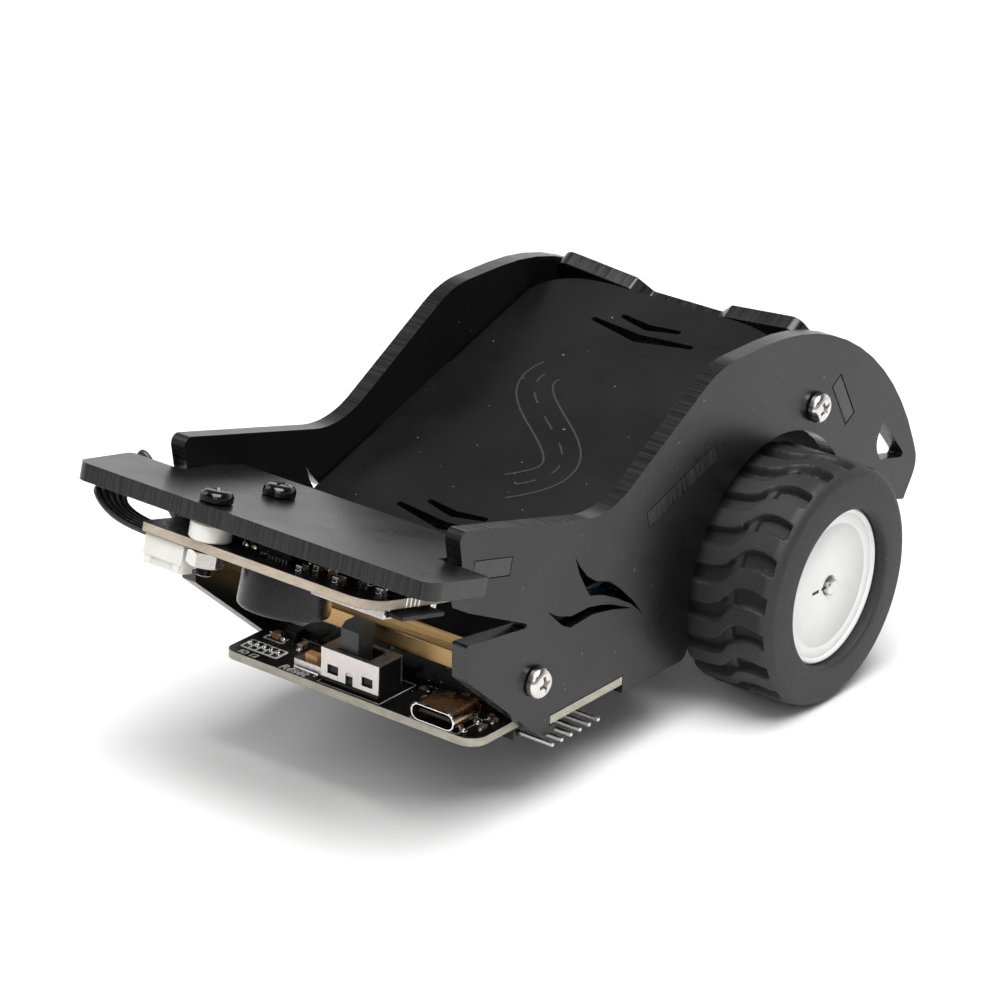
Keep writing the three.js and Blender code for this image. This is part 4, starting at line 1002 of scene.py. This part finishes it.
def underside_details():
    """Printed marks, joints and the sensors' lenses under the main board."""
    metal = bmesh.new()
    flip = Matrix.Translation((0, 0, -BOARD_THICK)) @ Matrix.Diagonal((1, -1, -1, 1))
    joints = [(-23.7, -(15.8 + 1.7 * k), 0.6) for k in range(5)]
    joints += [(x, -y, 0.8) for x in (-3.5, 3.5) for y in (2.2, 6.4)]
    joints += [(-20 + 2.54 * k, -96, 0.8) for k in range(6)]
    for x, y, radius in joints:
        add_solder_dot(metal, x, y, 0, radius, 0.6)
    for x in (-18, 18):
        for y in (70, 90):
            add_solder_dot(metal, x, -y, 0, 1.3, 0.35)
    finish_object("underside_solder", metal, [SOLDER], axes=flip)
    prints = bmesh.new()
    for side in (-12, 0, 12):
        add_frame(prints, side - 3.4, side + 3.4, -32.8, -21.4, 0.16)
    add_frame(prints, -20, 20, -104, -98, 0.2)
    for k in range(9):
        add_box(prints, -16 + 4 * k, -14.6 + 4 * k, -101.2, -100.8, 0, 0.03)
    finish_object("underside_print", prints, [SILKSCREEN], axes=flip)
    for index, side in enumerate(("left", "centre", "right")):
        refined(f"line_sensor_{side}", [BLACK_PLASTIC], 0.25)
        x = (index - 1) * 12
        lenses = bmesh.new()
        for y in (24.6, 29.6):
            profile = [(1.4, -8.2), (1.4, -8.35), (1.15, -8.7), (0.7, -8.95), (0, -9.05)]
            add_lathe(lenses, [(0, -8.2)] + profile, 24, 0, Matrix.Translation((x, y, 0.2)))
        bmesh.ops.recalc_face_normals(lenses, faces=lenses.faces)
        finish_object(f"line_sensor_{side}_lenses", lenses, [GLOSS_BLACK])


def sensor_board_details():
    """Small parts on the upper face of the sensor board, placed in the bumper's axes."""
    parts = bmesh.new()
    z = SENSOR_TOP
    add_chip(parts, 2.9, 8.9, 4.2, 3.2, 1.3, 6, z)
    for x in (-5.1, -3.3):
        add_solder_dot(parts, x, 8.6, z, 0.75, 0.9, 1)
    for dx, dy in ((0.75, 0.2), (0.2, 0.75)):
        add_box(parts, -0.6 - dx, -0.6 + dx, 7.6 - dy, 7.6 + dy, z, z + 0.06, 1)
    for x, y, length, along_x in ((8.7, 5.6, 1.9, False), (9.6, 8.9, 1.9, False), (15.4, 6.6, 2.2, False),
                                  (12.2, 9.6, 1.6, True), (17.8, 10.4, 1.6, True), (22.4, 8.6, 1.6, False)):
        add_passive(parts, x, y, length, 1.1, 0.8, z, 2, along_x)
    for k in range(4):
        add_solder_dot(parts, 6.4 + 1.3 * k, 10.6, z, 0.4, 0.5, 1)
        add_box(parts, 25.7, 26.04, 10.6 + 1.1 * k, 10.9 + 1.1 * k, z - BOARD_THICK, z + 0.04, 1)
    add_passive(parts, 17.5, 16.0, 3.2, 1.7, 1.2, z)
    add_chip(parts, 3.0, 17.0, 5.0, 4.0, 1.4, 7, z)
    for k in range(6):
        x, y = -18 + 2.4 * (k % 3), 14 + 3.4 * (k // 3)
        add_passive(parts, x, y, 1.6, 0.8, 0.6, z, 2 if k % 2 else 0, False)
    finish_object("sensor_board_parts", parts, SMALL_PARTS, axes=BUMPER_AXES)


# ---------------------------------------------------------------- parts on the boards
def power_switch():
    refined("power_switch_body", [BLACK_PLASTIC], 0.12)
    refined("power_switch_shell", [SWITCH_TIN], 0.1, segments=3)
    refined("power_switch_lever", [GREY_PLASTIC], 0.16)


def reset_button():
    refined("reset_button_body", [TINPLATE], 0.08)
    refined("reset_button_cap", [CAP_TAN], 0.12)
    bm = bmesh.new()
    x, y = -10.1, 3.6
    for side in (-1, 1):
        low, high = sorted((y + side * 1.7, y + side * 2.5))
        for dx in (-2.2, 2.2):
            add_box(bm, x + dx - 0.35, x + dx + 0.35, low, high, 0.02, 0.3, 0, 0.04)
    add_box(bm, x - 2.6, x + 2.6, y - 2.15, y - 1.78, 0.05, 0.75, 0, 0.05)
    finish_object("reset_button_legs", bm, [SOLDER])


def usb_socket():
    """Oval shell with a polished rim, a tongue with contacts, and four tabs on the board."""
    width, height, wall = 8.94, 3.26, 0.3
    front, back = -0.2, 7.2
    middle_z = 0.1 + height / 2
    centre_x = 18.0
    bm = bmesh.new()
    outer = rounded(-width / 2, width / 2, -height / 2, height / 2, height / 2 - 0.05, 10)
    inner = rounded(-width / 2 + wall, width / 2 - wall, -height / 2 + wall, height / 2 - wall,
                    height / 2 - wall - 0.05, 10)
    lip = [(u * (1 - 0.12 / width), v * (1 - 0.3 / height)) for u, v in outer]
    rings = [(lip, front), (outer, front + 0.15), (outer, back - 0.2), (lip, back)]
    mouth = [(inner, front), (inner, back - 1.2)]
    loops = [[bm.verts.new((centre_x + u, y, middle_z + v)) for u, v in ring] for ring, y in rings]
    hollow = [[bm.verts.new((centre_x + u, y, middle_z + v)) for u, v in ring] for ring, y in mouth]
    count = len(outer)
    rim = [(loops[0], loops[1]), (loops[0], hollow[0])]
    for first, second in [*rim, *zip(loops[1:], loops[2:]), *zip(hollow, hollow[1:])]:
        for k in range(count):
            face = bm.faces.new((first[k], first[(k + 1) % count], second[(k + 1) % count], second[k]))
            face.material_index = 3 if (first, second) in rim else 0
    bm.faces.new(loops[-1])
    bm.faces.new(hollow[-1])
    bmesh.ops.recalc_face_normals(bm, faces=bm.faces)
    add_box(bm, centre_x - 3.3, centre_x + 3.3, front + 0.9, back - 1, middle_z - 0.35, middle_z + 0.35,
            1, 0.1)
    for k in range(12):
        x = centre_x - 2.75 + 0.5 * k
        for low in (middle_z + 0.1, middle_z - 0.38):
            add_box(bm, x - 0.14, x + 0.14, front + 1.2, back - 1.3, low, low + 0.28, 0)
    for x in (centre_x - 4.3, centre_x + 3.8):
        for y in (1.6, 5.4):
            add_box(bm, x, x + 0.5, y, y + 1.1, -0.02, 1.1, 2, 0.08)
    finish_object("usb_socket_fine", bm, [USB_STEEL, BLACK_PLASTIC, SOLDER, POLISHED],
                  node="usb_socket")


def pin_header():
    refined("header_strip", [BLACK_PLASTIC], 0.1)
    refined("header_pins", [STEEL], 0.12)


def buzzer():
    """Round case hung under the sensor board, with a rounded lower edge and a sound hole."""
    bm = bmesh.new()
    radius, height = 7.6, 7.2
    profile = [(0, 0), (radius - 0.3, 0), (radius, -0.3), (radius, -height + 0.9)]
    for k in range(1, 7):
        angle = TURN / 4 * k / 6
        profile.append((radius - 0.9 + 0.9 * math.cos(angle), -height + 0.9 - 0.9 * math.sin(angle)))
    profile += [(5.2, -height), (5.0, -height + 0.12), (4.7, -height + 0.12), (4.5, -height), (1.75, -height),
                (1.6, -height + 0.15), (1.6, -height + 1.5), (0, -height + 1.5)]
    add_lathe(bm, profile, 96)
    bmesh.ops.recalc_face_normals(bm, faces=bm.faces)
    axes = BUMPER_AXES @ Matrix.Translation((2.4, 11.0, UNDER_SENSOR - CLEAR))
    finish_object("buzzer_case", bm, [GLOSS_BLACK], axes=axes, node="buzzer")


def card_reader():
    refined("card_socket", [TINPLATE], 0.12)
    refined("memory_card", [BLACK_PLASTIC], 0.14)
    bm = bmesh.new()
    top = UNDER_SENSOR - CLEAR
    for k in range(8):
        add_box(bm, 11.4, 12.3, 8.0 + 1.4 * k, 8.6 + 1.4 * k, top - 1.85, top - 1.68, 0, 0.03)
    for k in range(4):
        add_box(bm, 24.3, 25.4, 7.4 + 3.6 * k, 8.0 + 3.6 * k, top - 0.3, top + 0.1, 0, 0.03)
    for x in (13.5, 20.0):
        add_box(bm, x, x + 1.6, 6.2, 6.7, top - 0.3, top + 0.1, 0, 0.05)
    finish_object("card_socket_tabs", bm, [SOLDER], axes=BUMPER_AXES)


def strand_points(index):
    """Route of one strand, in board millimetres."""
    offset = (index - (STRANDS - 1) / 2) * STRAND_PITCH
    x0, x1, _, y1, z0, z1 = CABLE_SOCKET
    x = (x0 + x1) / 2
    t = y1 + 0.3 + PLUG_LENGTH
    n = (z0 + z1) / 2
    lower_x = (LOWER_SOCKET[0] + LOWER_SOCKET[1]) / 2
    lower_y = (LOWER_SOCKET[2] + LOWER_SOCKET[3]) / 2
    sloped = [
        (x + offset, t - 0.6, n),
        (x - 0.8 + offset * 0.9, t + 3 + offset * 0.4, n),
        (-20.5 + offset * 0.3, 12.8 + offset * 0.9, -10.6),
        (-25.5, 11.6 + offset, -10.1),
        (-30, 9.2 + offset, -8.9),
        (-32.8 + offset * 0.1, 8.2 + offset * 0.95, -7.3),
        (-34.1 + offset * 0.6, 8.2 + offset * 0.75, -5.4),
        (-34.3 + offset * 0.95, 11.5, -4.5),
        (-34.9 + offset * 0.95, 15.9, -4.7),
        (-35.6 + offset * 0.75, 18.2 + offset * 0.2, -3.5 - offset * 0.5),
        (-35.8 + offset * 0.45, 18.9 + offset * 0.4, -2.2 - offset * 0.85),
        (-34.8, 19.8 + offset * 0.6, -3.5 - offset * 0.8),
        (-33.2, 22.4 + offset * 0.9, -6.8 - offset * 0.5),
    ]
    level = [
        (-31.4, -4.1 + offset, 23.2 - offset * 0.25),
        (-26.6, -3.9 + offset, 22 - offset * 0.25),
        (-23.2 + offset * 0.3, 0.5 + offset * 0.8, 19),
        (lower_x, lower_y - 4 + offset, 15.5),
        (lower_x, lower_y + offset, LOWER_SOCKET[5] + 3.2),
    ]
    return [BUMPER_AXES @ Vector(p) for p in sloped] + [Vector(p) for p in level]


def upper_connector():
    """Side-entry housing under the sensor board: block with ribs in front and a slotted plug behind."""
    x0, x1, y0, y1, z0, z1 = CABLE_SOCKET
    bm = bmesh.new()
    add_box(bm, x0, x1, y0 + 0.45, y1, z0, z1, 0, 0.2)
    add_box(bm, x0, x1, y0, y0 + 0.7, z0 + 1.5, z1, 0, 0.15)
    for x in (x0 + 1.1, x1 - 1.1):
        add_box(bm, x - 0.7, x + 0.7, y0 + 0.1, y0 + 0.7, z0 + 0.2, z0 + 2, 0, 0.12)
    finish_object("cable_socket_upper_fine", bm, [NYLON], axes=BUMPER_AXES,
                  node="cable_socket_upper")
    bm = bmesh.new()
    add_box(bm, x0 + 0.5, x1 - 0.5, y1 + 0.3, y1 + 0.3 + PLUG_LENGTH, z0 + 0.6, z1 - 0.65, 0, 0.2)
    for k in range(STRANDS):
        x = (x0 + x1) / 2 + (k - (STRANDS - 1) / 2) * STRAND_PITCH
        add_box(bm, x - 0.3, x + 0.3, y1 + 0.7, y1 + 1.9, z0 + 0.56, z0 + 1.0, 1)
    finish_object("cable_plug_upper_fine", bm, [NYLON, BLACK_PLASTIC], axes=BUMPER_AXES,
                  node="cable_plug_upper")


def lower_connector():
    """Upright housing on the main board with its plug pushed in from above."""
    x0, x1, y0, y1, z0, z1 = LOWER_SOCKET
    bm = bmesh.new()
    add_box(bm, x0, x1, y0, y1, z0, z1, 0, 0.2)
    for k in range(2):
        y = y0 + 2.2 + 4.2 * k
        add_box(bm, x1 - 0.2, x1 + 0.03, y - 0.6, y + 0.6, z0 + 2.4, z1 - 0.6, 1)
    finish_object("cable_socket_lower_fine", bm, [NYLON, BLACK_PLASTIC],
                  node="cable_socket_lower")
    bm = bmesh.new()
    add_box(bm, x0 + 0.5, x1 - 0.5, y0 + 0.5, y1 - 0.5, z1 + 0.3, z1 + 3.4, 0, 0.2)
    for k in range(STRANDS):
        y = (y0 + y1) / 2 + (k - (STRANDS - 1) / 2) * STRAND_PITCH
        add_box(bm, x1 - 0.8, x1 - 0.46, y - 0.3, y + 0.3, z1 + 0.9, z1 + 2.4, 1)
    finish_object("cable_plug_lower_fine", bm, [NYLON, BLACK_PLASTIC],
                  node="cable_plug_lower")


def sensor_lead():
    upper_connector()
    lower_connector()
    bm = bmesh.new()
    for index in range(STRANDS):
        add_tube(bm, smooth_path(strand_points(index), 8), STRAND_RADIUS, 12)
    finish_object("sensor_cable_strands", bm, [CABLE], angle=60, node="sensor_cable")


# ---------------------------------------------------------------- battery and caster
def battery():
    refined("battery_tray", [BLACK_PLASTIC], 0.2)
    for number, y, flip in ((1, 33.0, 1), (2, 47.6, -1)):
        bm = bmesh.new()
        half, radius = 24.8, 7.0
        profile = [(0, -half), (5.4, -half), (5.9, -half + 0.15)]
        end = half - 1.8
        for k in range(7):
            angle = TURN / 4 * k / 6
            profile.append((radius - 0.6 + 0.6 * math.sin(angle), -half + 0.6 - 0.6 * math.cos(angle) + 0.1))
        for k in range(7):
            angle = TURN / 4 * k / 6
            profile.append((radius - 0.6 + 0.6 * math.cos(angle), end - 0.6 + 0.6 * math.sin(angle)))
        profile += [(5.2, end - 0.05), (5.2, end - 0.3), (2.9, end - 0.3), (2.6, end), (2.6, half - 0.2),
                    (2.4, half), (0, half)]
        add_lathe(bm, profile, 72, 0)
        bm.normal_update()
        for face in bm.faces:
            far = math.hypot(face.calc_center_median().x, face.calc_center_median().y)
            face.material_index = 0 if far > 5.3 else 1
        bmesh.ops.recalc_face_normals(bm, faces=bm.faces)
        lay = Matrix.Translation((0, y, 8.8)) @ sideways(-flip)
        finish_object(f"battery_cell_{number}_wrapped", bm, [WRAP, TINPLATE], axes=lay,
                      node=f"battery_cell_{number}")


def battery_cover():
    """Dark lid and front apron that hold the two cells down in their tray."""
    bm = bmesh.new()
    lid, apron = 16.3, 24.1
    add_box(bm, -26, 26, apron, 55.2, lid, lid + 0.9, 0, 0.2)
    add_box(bm, -26, 26, apron, apron + 0.7, 0.3, lid + 0.9, 0, 0.2)
    for x in (-16, 0, 16):
        add_box(bm, x - 1, x + 1, apron + 0.6, 54.8, lid + 0.85, lid + 1.3, 0, 0.15)
    finish_object("battery_cover", bm, [BLACK_PLASTIC])


def caster():
    refined("caster_housing", [BLACK_PLASTIC], 0.2)
    bm = bmesh.new()
    steps = 32
    arc = [TURN / 2 * k / steps - TURN / 4 for k in range(1, steps)]
    add_lathe(bm, [(0, -6)] + [(6 * math.cos(a), 6 * math.sin(a)) for a in arc] + [(0, 6)], 64)
    ground = -BOARD_TOP
    finish_object("caster_ball_polished", bm, [STEEL], "caster_ball",
                  Matrix.Translation((0, 42, ground + 6)), 60, node="caster_ball")


# ---------------------------------------------------------------- room
def floor():
    bm = bmesh.new()
    bmesh.ops.create_grid(bm, x_segments=2, y_segments=2, size=6)
    mesh = bpy.data.meshes.new("floor")
    bm.to_mesh(mesh)
    bm.free()
    surface = Surface("floor_paper", 0.7)
    tone = surface.noise(3, 2)
    surface.color(surface.ramp(tone, [(0.3, (0.86, 0.86, 0.86)), (0.7, (0.88, 0.88, 0.88))]))
    mesh.materials.append(surface.material)
    plane = bpy.data.objects.new("floor", mesh)
    bpy.context.scene.collection.objects.link(plane)


def area_light(name, location, target, size, power):
    data = bpy.data.lights.new(name, "AREA")
    data.energy = power
    data.shape = "RECTANGLE"
    data.size = size
    data.size_y = size
    light = bpy.data.objects.new(name, data)
    light.location = location
    light.rotation_euler = (Vector(target) - Vector(location)).to_track_quat("-Z", "Y").to_euler()
    bpy.context.scene.collection.objects.link(light)


def studio():
    """Bright wall behind the table, dim ceiling, and a darker room behind the camera."""
    world = bpy.data.worlds.new("studio")
    world.use_nodes = True
    nodes = world.node_tree.nodes
    links = world.node_tree.links

    def ramp(value, first, second):
        shade = nodes.new("ShaderNodeValToRGB")
        for element, (position, level) in zip(shade.color_ramp.elements, (first, second)):
            element.position = position
            element.color = (level, level, level, 1)
        links.new(value, shade.inputs["Fac"])
        return shade.outputs["Color"]

    direction = nodes.new("ShaderNodeTexCoord")
    height = nodes.new("ShaderNodeSeparateXYZ")
    links.new(direction.outputs["Generated"], height.inputs[0])
    across = nodes.new("ShaderNodeVectorMath")
    across.operation = "DOT_PRODUCT"
    across.inputs[1].default_value = (-0.5, 0.85, 0)
    links.new(direction.outputs["Generated"], across.inputs[0])
    both = nodes.new("ShaderNodeMix")
    both.data_type = "RGBA"
    both.blend_type = "MULTIPLY"
    both.inputs[0].default_value = 1
    links.new(ramp(height.outputs["Z"], (0.24, 1), (0.6, 0.18)), both.inputs[6])
    links.new(ramp(across.outputs["Value"], (0, 0.35), (0.5, 1)), both.inputs[7])
    links.new(both.outputs[2], nodes["Background"].inputs["Color"])
    nodes["Background"].inputs["Strength"].default_value = 1.2
    bpy.context.scene.world = world


def lights():
    studio()
    target = (0, 0, 0.02)
    area_light("overhead_softbox", (0.25, -0.25, 1.35), target, 1.1, 30.0)
    area_light("front_softbox", (0.5, -1.0, 0.8), target, 0.8, 3.0)
    area_light("left_softbox", (-1.1, -0.3, 0.8), target, 0.8, 4.0)
    bpy.context.scene.view_settings.view_transform = "Standard"


def camera():
    data = bpy.data.cameras.new("camera")
    data.sensor_width = 36
    data.lens = CAMERA_LENS
    data.clip_start = 0.05
    lens = bpy.data.objects.new("camera", data)
    azimuth, elevation, roll = (math.radians(angle) for angle in CAMERA_ANGLES)
    back = Vector((math.sin(azimuth) * math.cos(elevation), -math.cos(azimuth) * math.cos(elevation),
                   math.sin(elevation)))
    right = Vector((math.cos(azimuth), math.sin(azimuth), 0))
    up = back.cross(right)
    turned_right = right * math.cos(roll) + up * math.sin(roll)
    turned_up = up * math.cos(roll) - right * math.sin(roll)
    spot = TO_ROW @ Vector(CAMERA_SPOT)
    lens.matrix_world = Matrix((
        (turned_right.x, turned_up.x, back.x, spot.x),
        (turned_right.y, turned_up.y, back.y, spot.y),
        (turned_right.z, turned_up.z, back.z, spot.z),
        (0, 0, 0, 1)))
    bpy.context.scene.collection.objects.link(lens)
    bpy.context.scene.camera = lens


acrylic_plates()
deck_engraving()
fasteners()
wheels()
motors()
boards()
main_board_details()
underside_details()
sensor_board_details()
power_switch()
reset_button()
usb_socket()
pin_header()
buzzer()
card_reader()
sensor_lead()
battery()
battery_cover()
caster()
floor()
lights()
camera()
